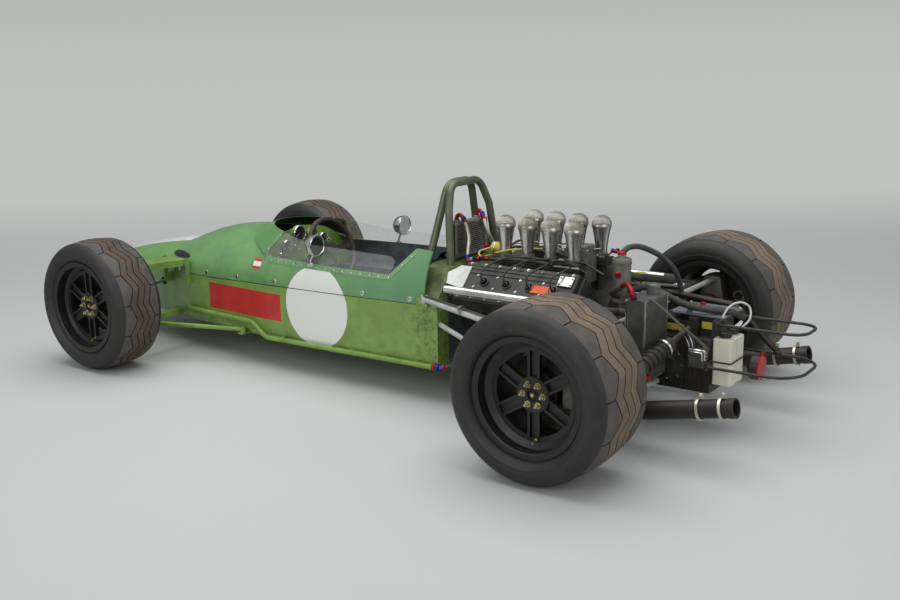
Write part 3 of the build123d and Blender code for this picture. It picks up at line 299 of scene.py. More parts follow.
def side_marks(f, tone):
    """Blank number roundel and blank red panel on both sides."""
    s, z, r = ROUNDEL
    dx = f.calc("SUBTRACT", f.x, (s - REAR_AXLE) / 1000)
    dz = f.calc("SUBTRACT", f.z, z / 1000)
    away = f.calc("SQRT", f.calc("ADD", f.both(dx, dx), f.both(dz, dz)))
    outer = f.ramp(f.calc("ABSOLUTE", f.y), 0.262, 0.266)
    disc = f.both(f.ramp(away, r / 1000 + 0.0005, r / 1000 - 0.0005), outer)
    chips = f.ramp(f.noise(95.0, 5.0, 0.75), 0.66, 0.63)
    tone = f.mix(f.both(disc, f.calc("MAXIMUM", chips, 0.55)), tone, rgb("dee0db"))
    panel = f.both(f.both(f.within(f.x, 0.369, 0.861), f.within(f.z, 0.226, 0.350)), outer)
    faded = f.mix(f.ramp(f.noise(12.0, 4.0), 0.4, 0.7), rgb("bc2c26"), rgb("a82824"))
    return f.mix(panel, tone, faded)


def tub_marks(f, tone):
    """Grey inside and on the rear ledge, painted shade in blotches low down, and stains at the
    rear.
    """
    inside = f.both(f.ramp(f.calc("ABSOLUTE", f.y), 0.2655, 0.2635), f.ramp(f.z, 0.150, 0.156))
    grey = f.mix(f.ramp(f.noise(18.0, 5.0), 0.4, 0.6), rgb("545c60"), rgb("424a4a"))
    # Painted shade: blotchy darkening low down, where the side turns under.
    low = f.both(f.ramp(f.z, 0.26, 0.13), f.ramp(f.noise(14.0, 5.0, 0.7), 0.36, 0.7))
    tone = f.mix(f.both(low, 0.55), tone, rgb("586034"))
    rear = f.both(f.ramp(f.x, -0.28, -0.46), f.ramp(f.noise(40.0, 6.0, 0.75), 0.45, 0.62))
    tone = f.mix(f.both(rear, 0.7), tone, rgb("464e2c"))
    up = f.ramp(f.normal(2), 0.7, 0.8)
    ledge = f.both(f.both(up, f.ramp(f.z, 0.350, 0.356)), f.ramp(f.x, -0.392, -0.388))
    return f.mix(f.calc("MAXIMUM", inside, ledge), side_marks(f, tone), grey)


def lining(f):
    """1 on faces that look at the car's middle, and the lining's dull blue grey."""
    toward = f.normal(1)
    grey = f.mix(f.ramp(f.noise(18.0, 5.0), 0.4, 0.6), rgb("5c646a"), rgb("464e52"))
    return f.ramp(f.both(f.y, toward), -0.004, -0.012), grey


def cowl_marks(f, tone):
    """Darker, bluer and chipped tail, flag label, seam's shadow and painted shade in the slots
    above the arms.
    """
    # Darker and bluer towards the tail.
    tail_tint = f.both(f.ramp(f.x, 0.25, -0.35), 0.55)
    tone = f.mix(tail_tint, tone, rgb("548464"))
    chip = f.both(f.ramp(f.x, 0.0, -0.42), f.ramp(f.noise(75.0, 6.0, 0.8), 0.62, 0.68))
    tone = f.mix(f.both(chip, 0.7), tone, rgb("2e3a3c"))
    patch = f.both(f.within(f.x, 0.512, 0.562), f.within(f.z, 0.448, 0.490))
    patch = f.both(patch, f.ramp(f.y, 0.20, 0.202))
    flag = f.mix(f.within(f.z, 0.459, 0.479), rgb("be2628"), rgb("dedcd6"))
    tone = side_marks(f, f.mix(patch, tone, flag))
    line = f.calc("ADD", f.both(f.x, SEAM_SLOPE), f.z)
    tone = f.mix(f.ramp(line, 0.3972, 0.3958), tone, rgb("181e16"))
    # Near-black painted shade in the slots above the arms.
    ex = f.calc("DIVIDE", f.calc("SUBTRACT", f.x, 1.115), 0.088)
    ez = f.calc("DIVIDE", f.calc("SUBTRACT", f.z, 0.448), 0.014)
    slot_shade = f.ramp(f.calc("ADD", f.both(ex, ex), f.both(ez, ez)), 1.03, 0.97)
    tone = f.mix(slot_shade, tone, rgb("10120e"))
    inside, grey = lining(f)
    return f.mix(inside, tone, grey)


def nose_marks(f, tone):
    """White stripe along the nose's top."""
    stripe = f.both(f.ramp(f.calc("ABSOLUTE", f.y), 0.1055, 0.1045), f.ramp(f.z, 0.30, 0.302))
    white = f.mix(f.ramp(f.noise(30.0, 5.0), 0.5, 0.7), rgb("e0e2dc"), rgb("c6c8be"))
    return f.mix(stripe, tone, white)


lime = worn("lime_paint", "7c9e48", "709040", 0.36, marks=tub_marks, dirty=0.22, dirt="545e30",
    grain=0.0006, scale=22.0, Coat_Weight=0.35, Coat_Roughness=0.22)
lime_plain = worn("lime_steel", "7ea046", "6c8a3a", 0.4, dirty=0.35, dirt="484c2c")
green = worn("green_paint", "6c985c", "628e5a", 0.3, marks=cowl_marks, dirty=0.2, dirt="3a5432",
    grain=0.0008, scale=16.0, Coat_Weight=0.5, Coat_Roughness=0.16)
nose_green = worn("nose_paint", "6c9a56", "629050", 0.3, marks=nose_marks, dirty=0.2, dirt="3a5432",
    grain=0.0008, scale=16.0, Coat_Weight=0.5, Coat_Roughness=0.16)
olive = worn("olive_paint", "565c42", "444a34", 0.34, dirty=0.3, Coat_Weight=0.3)
dark_alu = worn("dark_aluminium", "62625c", "464642", 0.42, 0.75, dirty=0.4)
cast = worn("cast_alloy", "8c8a82", "62605a", 0.5, 0.55, dirt="362e24", dirty=0.55, grain=0.0012,
    scale=240.0)
block_alloy = worn("block_alloy", "484744", "2e2d2b", 0.5, 0.4, dirt="28221c", dirty=0.6,
    grain=0.0012, scale=240.0)
gear_alloy = worn("gear_alloy", "3e3c38", "2a2926", 0.5, 0.4, dirt="3a3228", dirty=0.6,
    grain=0.0012, scale=240.0)
tank_alloy = worn("tank_alloy", "7a7b78", "5e5f5c", 0.36, 0.6, dirt="423e36", dirty=0.4)
cooler_alloy = worn("cooler_alloy", "9e9d92", "7c7b72", 0.4, 0.5, dirty=0.35)
stained_lime = worn("stained_lime", "60703c", "465230", 0.5, dirt="2e2e22", dirty=0.75)
mirror_glass = worn("mirror_glass", "ced2d2", "c4c8c8", 0.1, 1.0, dirty=0.06)
bright_steel = worn("bright_steel", "c4c2bc", "a09e98", 0.24, 0.95, dirty=0.18)
vinyl = worn("black_vinyl", "2c2c2a", "222120", 0.5, grain=0.0006, scale=300.0, dirty=0.25)
leather = worn("brown_leather", "362a24", "261e1a", 0.5, grain=0.0008, scale=260.0)
chrome = worn("chrome", "e2e2de", "cececa", 0.1, 1.0, dirty=0.06)
black = worn("black_paint", "242424", "1a1a1a", 0.4, dirty=0.45, dirt="4c443a")
bright_alloy = worn("bright_alloy", "dedcd6", "c4c2bc", 0.2, 0.95, dirty=0.22)
gauze = worn("steel_gauze", "ded9ca", "beb8a8", 0.34, 0.9, dirty=0.3)
pipe = worn("exhaust_steel", "282725", "34312e", 0.45, 0.4, dirt="4e4032", dirty=0.35, grain=0.0008,
    scale=140.0)
white_steel = worn("white_steel", "c4c6c2", "aaaca8", 0.34, 0.25, dirt="5c584e", dirty=0.4)
dark_steel = worn("dark_steel", "3c3a38", "2a2928", 0.42, 0.7, dirt="543e2c", dirty=0.45)
black_wheel = worn("black_wheel", "141413", "0f0f0e", 0.4, dirt="342f28", dirty=0.25, grain=0.0007,
    scale=320.0)
plastic = worn("black_plastic", "202021", "181819", 0.42, dirty=0.3)
lilac = worn("lilac_plate", "7a7a84", "646470", 0.38, 0.3, dirty=0.3)
hose = worn("grey_rubber", "343436", "28282a", 0.55, dirty=0.4, grain=0.0006, scale=400.0)
tread = worn("tyre_tread", "766556", "625448", 0.85, dirt="867460", dirty=0.6, grain=0.0012,
    scale=150.0, spots=0.6)
groove = worn("tyre_groove", "2c2824", "201e1c", 0.9, dirt="605242", dirty=0.5)
front_tread = worn("front_tread", "584a40", "463b34", 0.85, dirt="68584a", dirty=0.5, grain=0.0012,
    scale=150.0, spots=0.5)
shoulder = worn("tyre_shoulder", "524e4b", "44413e", 0.7, dirt="6a5c50", dirty=0.5, grain=0.001,
    scale=150.0, spots=0.4)
sidewall = worn("tyre_side", "222220", "1a1a19", 0.5, dirt="3e3932", dirty=0.3, grain=0.0006,
    scale=190.0)
brass = worn("brass", "cebe8a", "b29e64", 0.3, 0.85, dirty=0.35)
red_alloy = worn("red_anodised", "b0221e", "8a1818", 0.3, 0.7, dirty=0.15)
blue_alloy = worn("blue_anodised", "263e96", "1c2e76", 0.3, 0.7, dirty=0.15)
orange = worn("orange_label", "e05c28", "ce4e22", 0.45, dirty=0.2)
yellow = worn("yellow_cap", "c4b842", "a89c36", 0.4, dirty=0.35)
white_plate = worn("pale_plate", "ced0cc", "b8bab6", 0.4, 0.2, dirty=0.3)
dial = worn("dial_face", "121212", "1a1a1a", 0.3, dirty=0.1)
dial_mark = worn("dial_mark", "deded6", "cecec6", 0.4, dirty=0.1)
green_edge = worn("opening_edge", "769a6e", "668e62", 0.42, dirty=0.35, dirt="3c4a34")
belt_blue = worn("belt_webbing", "262c46", "1e233a", 0.75, grain=0.0009, scale=700.0)


def clear(name, tint, rough, weight, scratch=0.25):
    """Clear moulding with fine scratches and dust."""
    f = Finish(name, rough, Transmission_Weight=weight, IOR=1.2)
    dust = f.ramp(f.noise(60.0, 6.0, 0.75), 0.5, 0.8)
    tone = f.mix(f.both(dust, scratch), rgb(tint), rgb("969892"))
    f.give(Base_Color=tone, Roughness=f.calc("ADD", rough, f.both(dust, 0.2)))
    return f.mat


def screen_finish():
    """Thin clear sheet behind, and painted hood ahead of a line that leans back as it rises, with
    near-black painted shade on the hood's inner faces.
    """
    f = Finish("clear_screen", 0.05)
    dust = f.ramp(f.noise(34.0, 6.0, 0.75), 0.45, 0.85)
    glass = f.mix(dust, rgb("d6dcda"), rgb("aaaeaa"))
    paint = f.mix(f.ramp(f.noise(7.0, 4.0), 0.35, 0.65), rgb("649256"), rgb("5a8852"))
    # Near-black painted shade on the hood's inner faces.
    paint = f.mix(lining(f)[0], paint, rgb("1e2220"))
    lean = f.calc("ADD", f.x, f.both(f.z, HOOD_LEAN))
    hood = f.ramp(lean, HOOD_EDGE - 0.0008, HOOD_EDGE + 0.0008)
    tone = f.mix(hood, glass, paint)
    alpha = f.calc("MAXIMUM", f.calc("ADD", 0.07, f.both(dust, 0.1)), hood)
    rough = f.calc("ADD", 0.05, f.both(f.calc("MAXIMUM", dust, hood), 0.25))
    f.give(Base_Color=tone, Alpha=alpha, Roughness=rough)
    return f.mat


screen = screen_finish()
bottle = clear("clear_plastic", "ecebd8", 0.35, 0.3)
lens = clear("red_lens", "c41612", 0.12, 0.35, 0.05)

NODE_FINISH = {"monocoque": lime, "cockpit_cowl": green, "nose_cone": nose_green,
    "wind_screen": screen, "radiator": dark_alu, "rack_housing": cast,
    "rack_and_tie_rods": bright_steel, "rear_bulkhead": stained_lime, "roll_hoops": olive,
    "oil_cooler": cooler_alloy, "seat": vinyl, "steering_wheel": leather,
    "instrument_panel": lime_plain, "mirrors": chrome, "engine": block_alloy, "cam_covers": black,
    "intake_trumpets": bright_alloy, "intake_screens": gauze, "injection_gear": cast,
    "exhausts": pipe, "gearbox": gear_alloy, "rear_links": white_steel, "tail_hoops": black,
    "radius_rods": white_steel, "rear_dampers": dark_steel, "damper_bridge": gear_alloy,
    "oil_tank": tank_alloy, "battery": plastic, "battery_plate": lilac, "catch_bottles": bottle,
    "tail_lamp": lens, "water_rails": bright_alloy, "coolant_hoses": hose, "side_pipes": lime_plain,
    "engine_plates": white_plate, "tail_brace": dark_steel, "front_rocker_arms": lime_plain,
    "front_lower_arms": lime_plain, "rear_uprights": cast}
for side in ("left", "right"):
    NODE_FINISH["front_knuckle_" + side] = cast
    for piece, finish in (("front_hub_", dark_steel), ("rear_drive_", dark_steel),
            ("front_tyre_", sidewall), ("front_wheel_", black_wheel), ("rear_tyre_", sidewall),
            ("rear_wheel_", black_wheel)):
        NODE_FINISH[piece + side] = finish
for name, obj in nodes.items():
    obj.data.materials.clear()
    obj.data.materials.append(NODE_FINISH[name])


# Tyres: zigzag ribs with slots out to the shoulders

TREAD_DEPTH = 5.0


def arc(a, b, c, count):
    """Points on the circle through three (radius, side) points, a left out."""
    (ax, ay), (bx, by), (cx, cy) = a, b, c
    d = 2 * (ax * (by - cy) + bx * (cy - ay) + cx * (ay - by))
    aa, bb, cc = ax**2 + ay**2, bx**2 + by**2, cx**2 + cy**2
    ux = (aa * (by - cy) + bb * (cy - ay) + cc * (ay - by)) / d
    uy = (aa * (cx - bx) + bb * (ax - cx) + cc * (bx - ax)) / d
    r = hypot(ax - ux, ay - uy)
    t0, t2 = (atan2(y - uy, x - ux) for x, y in (a, c))
    while t2 - t0 > pi:
        t2 -= 2 * pi
    while t2 - t0 < -pi:
        t2 += 2 * pi
    angles = (t0 + (t2 - t0) * k / count for k in range(1, count + 1))
    return [(ux + r * cos(t), uy + r * sin(t)) for t in angles]


def tyre_mesh(spec):
    """Treaded tyre about its centre, its axis along y."""
    R, half, rim = spec["R"], spec["width"] / 2, spec["rim"] / 2 - 8.3
    edge = half - 34
    wall = [(190.8, rim), (209, rim)]
    wall += arc((209, rim), (223, half - 5), (R - 66, half), 7)
    wall += arc((R - 66, half), (R - 32, half - 6), (R - 9, edge), 8)

    def ring(r, y):
        """Side wall with two moulded rings near the shoulder and one by the rim."""
        lift = 0.0
        for at_r, high, wide in ((R - 40, 0.9, 2.2), (R - 47, 0.9, 2.2), (232, 1.6, 4.0)):
            lift += high * max(0.0, 1 - abs(r - at_r) / wide)
        return (r, y + lift) if y > rim + 4 and r < R - 30 else (r, y)

    def crown(y):
        return R - 9 * min(1.0, abs(y) / edge) ** 1.6

    left = [wall[0]] + [ring(r, y) for r, y in split(wall[1:], 2.4)]
    right = [(r, -y) for r, y in left]
    liner = [(183, rim - 12), (R - 70, half - 13), (R - 30, half - 22), (R - 17, edge - 6),
        (R - 14, 0), (R - 17, -(edge - 6)), (R - 30, -(half - 22)), (R - 70, -(half - 13)),
        (183, -(rim - 12))]
    # Columns across the tread as (side, depth): four for each groove, and one on each rib.
    count, gap, swing, periods = (spec[k] for k in ("grooves", "pitch", "swing", "periods"))
    wide, lip = 1.7, 0.9
    columns = []
    for k in range(count):
        mid = gap * (k - (count - 1) / 2)
        columns += [(mid - wide - lip, 0), (mid - wide, TREAD_DEPTH)]
        columns += [(mid + wide, TREAD_DEPTH), (mid + wide + lip, 0)]
        if k < count - 1:
            columns.append((mid + gap / 2, 0))
    rib = (edge + gap * (count - 1) / 2) / 2 + 6
    columns = [(-edge, 0), (-rib, 0)] + columns + [(rib, 0), (edge, 0)]
    end = len(columns) - 1

    # Phases of one zigzag wave, close together at the slots, which cut the shoulders at its peaks.
    slot, soft = 0.011, 0.006
    phases = []
    for centre in (0.0, 0.5):
        phases += [centre + d for d in (-slot - soft, -slot, 0.0, slot, slot + soft)]
        phases += [centre + 0.06 + 0.38 * k / 7 for k in range(8)]
    phases = sorted(p % 1.0 for p in phases)
    mesh, rows, marks = Mesh(), [], []
    for turn in range(periods):
        for phase in phases:
            angle = 2 * pi * (turn + phase) / periods
            wave = swing * (1 - 4 * min(phase, 1 - phase))
            row, mark = [], []
            for k, (y, cut) in enumerate(columns):
                moved = y + wave * (0.0 if abs(y) >= edge - 1 else 1.0)
                for centre, outer in ((0.0, k >= end - 3), (0.5, k <= 3)):
                    gone = min(abs(phase - centre), 1 - abs(phase - centre))
                    deep = max(0.0, min(1.0, (slot + soft - gone) / soft)) * TREAD_DEPTH
                    if outer and deep > 0:
                        cut = max(cut, deep * (0.85 if 0 < k < end else 0.5))
                row.append((crown(moved) - cut, moved))
                mark.append(cut)
            full = right + row + left[::-1] + liner
            rows.append([Vector((r * sin(angle), y, r * cos(angle))) for r, y in full])
            marks.append(mark)
    mesh.grid(rows, 0, close_u=True, close_v=True)
    for i, (mark, following) in enumerate(zip(marks, marks[1:] + marks[:1])):
        for k in range(end):
            deepest = max(mark[k : k + 2] + following[k : k + 2])
            rim_rib = 3 if k < 3 or k > end - 4 else 1
            mesh.finish[i * len(rows[0]) + len(right) + k] = 2 if deepest > 0.5 else rim_rib
    return mesh


tyre_meshes = {"front": tyre_mesh(FRONT), "rear": tyre_mesh(REAR)}
for name, spec, sign in CORNERS:
    end, side = name.split("_")
    made = tyre_meshes[end].build(f"{end}_tyre_{side}_treaded", f"{end}_wheel_{side}_body",
        [sidewall, front_tread if end == "front" else tread, groove, shoulder], "tyre", angle=40,
        local=corner(spec, sign))
    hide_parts(f"{end}_tyre_{side}")


# Wheels' nuts, caps and valves


def wheel_trim(name, spec, sign):
    """Nuts on the hub face, centre cap, and the valve by the rim."""
    face = spec["face"]
    trim = Mesh()
    for k in range(6):
        a = 2 * pi * (k + 0.5) / 6
        nut = at(39 * sin(a), face + 22, 39 * cos(a), (0, 1, 0), 17 * k)
        trim.turned(nut, [(0.001, 15), (6, 15), (8.6, 13), (8.6, 2), (12, 2), (12.5, 0)], 6)
        trim.turned(nut, [(0.001, 21), (4, 21), (5, 19.5), (5, 14)], 14, 2)
    cap = [(0.001, 20), (15, 20), (18, 22), (21, 22), (21.6, 20), (21.6, 0)]
    trim.turned(at(0, face - 6, 0, (0, 1, 0)), cap, 32, 1)
    trim.turned(at(0, face + 18, 0, (0, 1, 0)), [(0.001, 9), (7, 9), (7, 0)], 6)
    a = radians(186)
    tip = at(150 * sin(a), spec["rim"] / 2 - 52, 150 * cos(a), (sin(a) * 0.25, 1, cos(a) * 0.25))
    stem = [(0.001, 30), (3, 30), (3.6, 28), (3.6, 19), (2.6, 18), (2.6, 8), (6, 6), (6.5, 0)]
    trim.turned(tip, stem, 12)
    finishes = [brass, black_wheel, bright_steel]
    body = f"{name.replace('_', '_wheel_')}_body"
    trim.build(f"{name}_wheel_nuts", body, finishes, "dark_steel", local=corner(spec, sign))


for name, spec, sign in CORNERS:
    wheel_trim(name, spec, sign)


# Woven gauze domes over the trumpets

# Stations of the bores on the right and left banks, and the trumpets over them.
BORES = {-1: (238, 342, 446, 550), 1: (262, 366, 470, 574)}
TRUMPETS = [(side, s) for side in BORES for s in BORES[side]]
TRUMPET_Y = 90


def gauze_domes():
    """Woven wire domes over the trumpets, each on a bright band."""
    mesh = Mesh()
    R, foot, straight, top = 39.0, 713.0, 12.0, 756.0
    pitch, wire = 4.6, 0.62
    height = top - foot - straight
    for side, s in TRUMPETS:
        y0 = side * TRUMPET_Y

        def on_dome(x, y, lift):
            rho = min(hypot(x, y) / R, 1.0)
            z = foot + straight + height * sqrt(max(0.0, 1 - rho * rho)) + lift
            return Vector((s + x, y0 + y, z))

        count = int(R / pitch)
        for k in range(-count, count + 1):
            across = k * pitch
            reach = sqrt(max(R * R - across * across, 1))
            for way in (0, 1):
                path = []
                for i in range(17):
                    u = reach * -cos(pi * i / 16)
                    lift = 0.35 * (1 if (i + k + way) % 2 else -1)
                    path.append(on_dome(u, across, lift) if way else on_dome(across, u, lift))
                a, b = path[0].copy(), path[-1].copy()
                a.z = b.z = foot
                mesh.tube([a] + path + [b], wire, 4)
        for z in (foot + 5, foot + 9.5):
            ring = [(s + u, y0 + v, z) for a, u, v in around(32, R)]
            mesh.tube(ring, wire, 4, closed=True)
        band = [(R + 0.2, 5), (R + 1.4, 5), (R + 1.4, 0), (R + 0.2, 0)]
        mesh.turned(at(s, y0, foot - 2), band, 40, 1, closed=True)
    made = mesh.build("gauze_domes", "car", [gauze, bright_steel], "steel_gauze", angle=60)
    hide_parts("intake_screens")


gauze_domes()


# Places on the engine, the cowl and the tub

CRANK_Z = 262


def on_bank(side, s, along, across):
    """Point on a cylinder bank: along its axis from the crank, across it away from the valley."""
    a = radians(45)
    y = side * (along * sin(a) + across * cos(a))
    return Vector((s, y, CRANK_Z + along * cos(a) - across * sin(a)))


def between(rows, s, column):
    """A column of a table of stations, read between its rows."""
    for a, b in zip(rows, rows[1:]):
        if s <= b[0]:
            t = max(0.0, (s - a[0]) / (b[0] - a[0]))
            return a[column] + (b[column] - a[column]) * t
    return rows[-1][column]


# Cowl's station, half width and crest; tub's station, half width and floor.
COWL = [(805, 340, 760), (1100, 339, 712), (1450, 336, 672), (1990, 318, 596), (2150, 307, 584),
    (2300, 291, 551), (2450, 270, 497)]
TUB = [(740, 340, 128), (1700, 335, 128), (2240, 300, 134), (2450, 270, 140)]


def seam(s):
    """Height of the seam between tub and cowl."""
    return 405 - SEAM_SLOPE * (s - 740)


def surface_tree():
    """Search tree of the cowl and the screen together."""
    points, faces = [], []
    for name in ("cockpit_cowl", "wind_screen"):
        data, first = nodes[name].data, len(points)
        points += [v.co.copy() for v in data.vertices]
        faces += [[first + i for i in poly.vertices] for poly in data.polygons]
    return BVHTree.FromPolygons(points, faces)


SKIN = surface_tree()


def cowl_side(s, z, lift=0.0):
    """Half width of the cowl or screen at a station and height, pushed out by a lift."""
    start = P(s, 600, z)
    hit = SKIN.ray_cast(start, Vector((0, -1, 0)), 0.6)[0]
    if hit is None:
        half, crest, foot = between(COWL, s, 1), between(COWL, s, 2), seam(s)
        t = min(max((z - foot) / (crest - foot), 0.0), 0.999)
        return half * sqrt(1 - t * t) + lift
    return hit.y * 1000 + lift


def stud(mesh, s, y, z, axis, r=3.0, high=1.4, finish=0, sides=8):
    """Domed rivet head."""
    mesh.turned(at(s, y, z, axis), [(0.001, high), (r * 0.6, high * 0.8), (r, 0.1), (r, -0.4)],
        sides, finish)


def bolt(mesh, s, y, z, axis, r=6.0, high=5.0, finish=0):
    """Hexagon head on a washer."""
    mesh.turned(at(s, y, z, axis), [(0.001, high), (r * 0.85, high), (r, high * 0.75), (r, 1)], 6,
        finish)
    mesh.turned(at(s, y, z, axis), [(0.001, 1.2), (r * 1.35, 1.2), (r * 1.35, -0.3)], 14, finish)


def union(mesh, start, end, r, first=0, second=1):
    """Two part hose union: swivel nut and collar."""
    a, b = Vector(start), Vector(end)
    m, way = (a + b) / 2, b - a
    nut, collar = (m - a).length, (b - m).length
    profile = [(0.001, 0), (r * 1.15, 0), (r * 1.3, 1.5), (r * 1.3, nut), (r, nut)]
    mesh.turned(at(*a, way), profile, 6, first)
    profile = [(r * 0.9, 0), (r * 1.15, 1), (r * 1.15, collar * 0.8), (r * 0.9, collar)]
    mesh.turned(at(*m, way), profile + [(0.001, collar)], 14, second)


# Trumpets, injection, covers and leads


def trumpets():
    """Flared bells with their clamps and feet."""
    mesh = Mesh()
    outside = [(23, 590), (23.5, 612), (25.5, 640), (29.5, 668), (33.5, 690), (36.5, 704),
        (38.2, 709), (38.6, 712)]
    inside = [(37.4, 712.4), (35.2, 705), (31.5, 690), (27.5, 668), (23.5, 640), (21.5, 612),
        (21.3, 592), (0.01, 592)]
    for side, s in TRUMPETS:
        mesh.turned(at(s, side * TRUMPET_Y, 0), outside + inside, 36)
        mesh.turned(at(s, side * TRUMPET_Y, 598), [(23, 0), (26, 1), (26, 9), (23, 10)], 28, 1,
            closed=True)
        mesh.turned(at(s, side * TRUMPET_Y, 582), [(0.01, 14), (29, 14), (31, 12), (31, 0)], 28, 1)
    made = mesh.build("intake_bells", "car", [bright_alloy, cast], "bright_alloy", angle=30)
    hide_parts("intake_trumpets")


def cover_trim():
    """Ribs, bolts, plug leads and blank label of the two cam covers."""
    body, leads = Mesh(), Mesh()
    for side in (1, -1):
        normal = on_bank(side, 0, 1, 0) - on_bank(side, 0, 0, 0)
        outward = on_bank(side, 0, 0, 1) - on_bank(side, 0, 0, 0)
        ahead = Vector((1 if outward.cross(normal).x > 0 else -1, 0, 0))
        turn = Matrix((ahead, outward, normal)).transposed().to_4x4()

        def on(s, along, across):
            return Matrix.Translation(on_bank(side, s, along, across)) @ turn

        for across in (-58, -38, 38, 58):
            body.block(on(436, 351.5, across), (490, 7, 4))
        for across in (-78, 78):
            body.block(on(436, 350.8, across), (500, 14, 3))
            for k in range(8):
                bolt(body, *on_bank(side, 204 + k * 66, 352, across), normal, 4.6, 4.5, 1)
        for s in BORES[side]:
            plug = [(17, 0), (20, 0.2), (20, 5), (18, 6), (15.5, 6), (15, 0.2)]
            body.turned(on(s, 350, 0), plug, 24, closed=True)
            for across in (-27, 27):
                place = on_bank(side, s + (52 if s < 500 else 40), 351, across)
                bolt(body, *place, normal, 4, 3.5, 1)
            top = on_bank(side, s, 346, 0)
            leads.turned(at(*top, normal), knob(9, 16, 8, 13), 14)
            up = top + normal * 16
            end = Vector((s * 0.35 + 120, side * 52, 632 - side * 6))
            leads.hose([up - normal * 6, up + normal * 16, up + normal * 30 - outward * 34,
                on_bank(side, s - 34, 362, -104), on_bank(side, s * 0.7 + 40, 366, -126),
                end + Vector((0, side * 10, -40))], 3.6, 8, per=7)
        if side > 0:
            body.block(on(310, 353.5, 4), (92, 34, 2.5), 2)
            body.block(on(222, 356, -44), (62, 44, 9), 3)
            for ds, dv in ((-24, -14), (24, -14), (-24, 14), (24, 14)):
                bolt(body, *on_bank(1, 222 + ds, 360, -44 + dv), normal, 4, 4, 1)
    finishes = [black, bright_steel, orange, bright_alloy]
    body.build("cam_cover_trim", "car", finishes, "black_paint")
    leads.build("plug_leads", "car", [plastic], "black_plastic", angle=60)


def injection_trim():
    """Injectors and their rails and pipes, fuel filter, metering unit and valley lines."""
    mesh, lines = Mesh(), Mesh()
    for side in (1, -1):
        mesh.tube([(216, side * 128, 578), (600, side * 128, 578)], 5.5, 10, 1)
        for s in BORES[side]:
            mesh.block(at(s, side * 121, 574), (20, 14, 16))
            bolt(mesh, s, side * 128, 574, (0, side, 0), 4, 4, 1)
            lines.hose([(s, side * 64, 600), (s - 4, side * 46, 622), (s - 30, side * 30, 634),
                (s * 0.5 + 130, side * 18, 628)], 2.3, 7, 0, per=6)
            mesh.turned(at(s, side * 66, 592, (0, -side, 1)), knob(6, 14, 4.5, 11), 6, 1)
    # Fuel filter, pump drive and the box of the metering unit.
    mesh.turned(at(604, 30, 604, (1, 0.25, 0.1)), [(0.001, 0), (9, 0), (11, 5), (22, 7), (24, 14),
        (24, 58), (22, 65), (11, 67), (9, 72), (0.001, 72)], 24, 3)
    for h in (20, 50):
        mesh.band(at(604, 30, 604, (1, 0.25, 0.1)) @ Matrix.Translation((0, 0, h)), 23.6, 25.4, 0,
            5, 24, 1)
    mesh.block(at(283, 0, 642), (84, 84, 12))
    for ds in (-34, 34):
        for dy in (-34, 34):
            bolt(mesh, 283 + ds, dy, 648, (0, 0, 1), 4.5, 5, 1)
    mesh.turned(at(283, 0, 648), knob(15, 16, 12, 13), 20, 1)
    mesh.turned(at(330, 0, 560, (1, 0, 0)), [(0.001, 44), (20, 44), (23, 40), (23, 14), (30, 12),
        (30, 0)], 24)
    for k in range(5):
        mesh.band(at(352 + k * 5, 0, 560, (1, 0, 0)), 23, 25, 0, 2, 24, 1)
    # Pale and black lines across the valley.
    lines.hose([(676, 46, 606), (700, 92, 596), (660, 128, 584), (560, 108, 616), (470, 60, 622),
        (380, 30, 628)], 4.2, 8, 2)
    lines.hose([(604, 28, 604), (560, 20, 618), (500, 16, 610), (420, 10, 600), (374, 0, 566)], 5.0,
        8, 1)
    lines.hose([(640, -40, 600), (560, 0, 640), (470, 34, 634), (330, 62, 612), (210, 96, 596),
        (130, 96, 560)], 4.6, 8, 1)
    lines.hose([(690, 70, 590), (640, 132, 604), (560, 140, 604), (420, 136, 600), (262, 128, 596),
        (190, 116, 560)], 3.4, 8, 1)
    mesh.build("injection_fittings", "car", [cast, bright_steel, bright_alloy, yellow],
        "cast_alloy")
    lines.build("fuel_lines", "car", [bright_steel, plastic, yellow], "bright_steel", angle=60)


# Oil cooler, its hoses and the red and blue unions


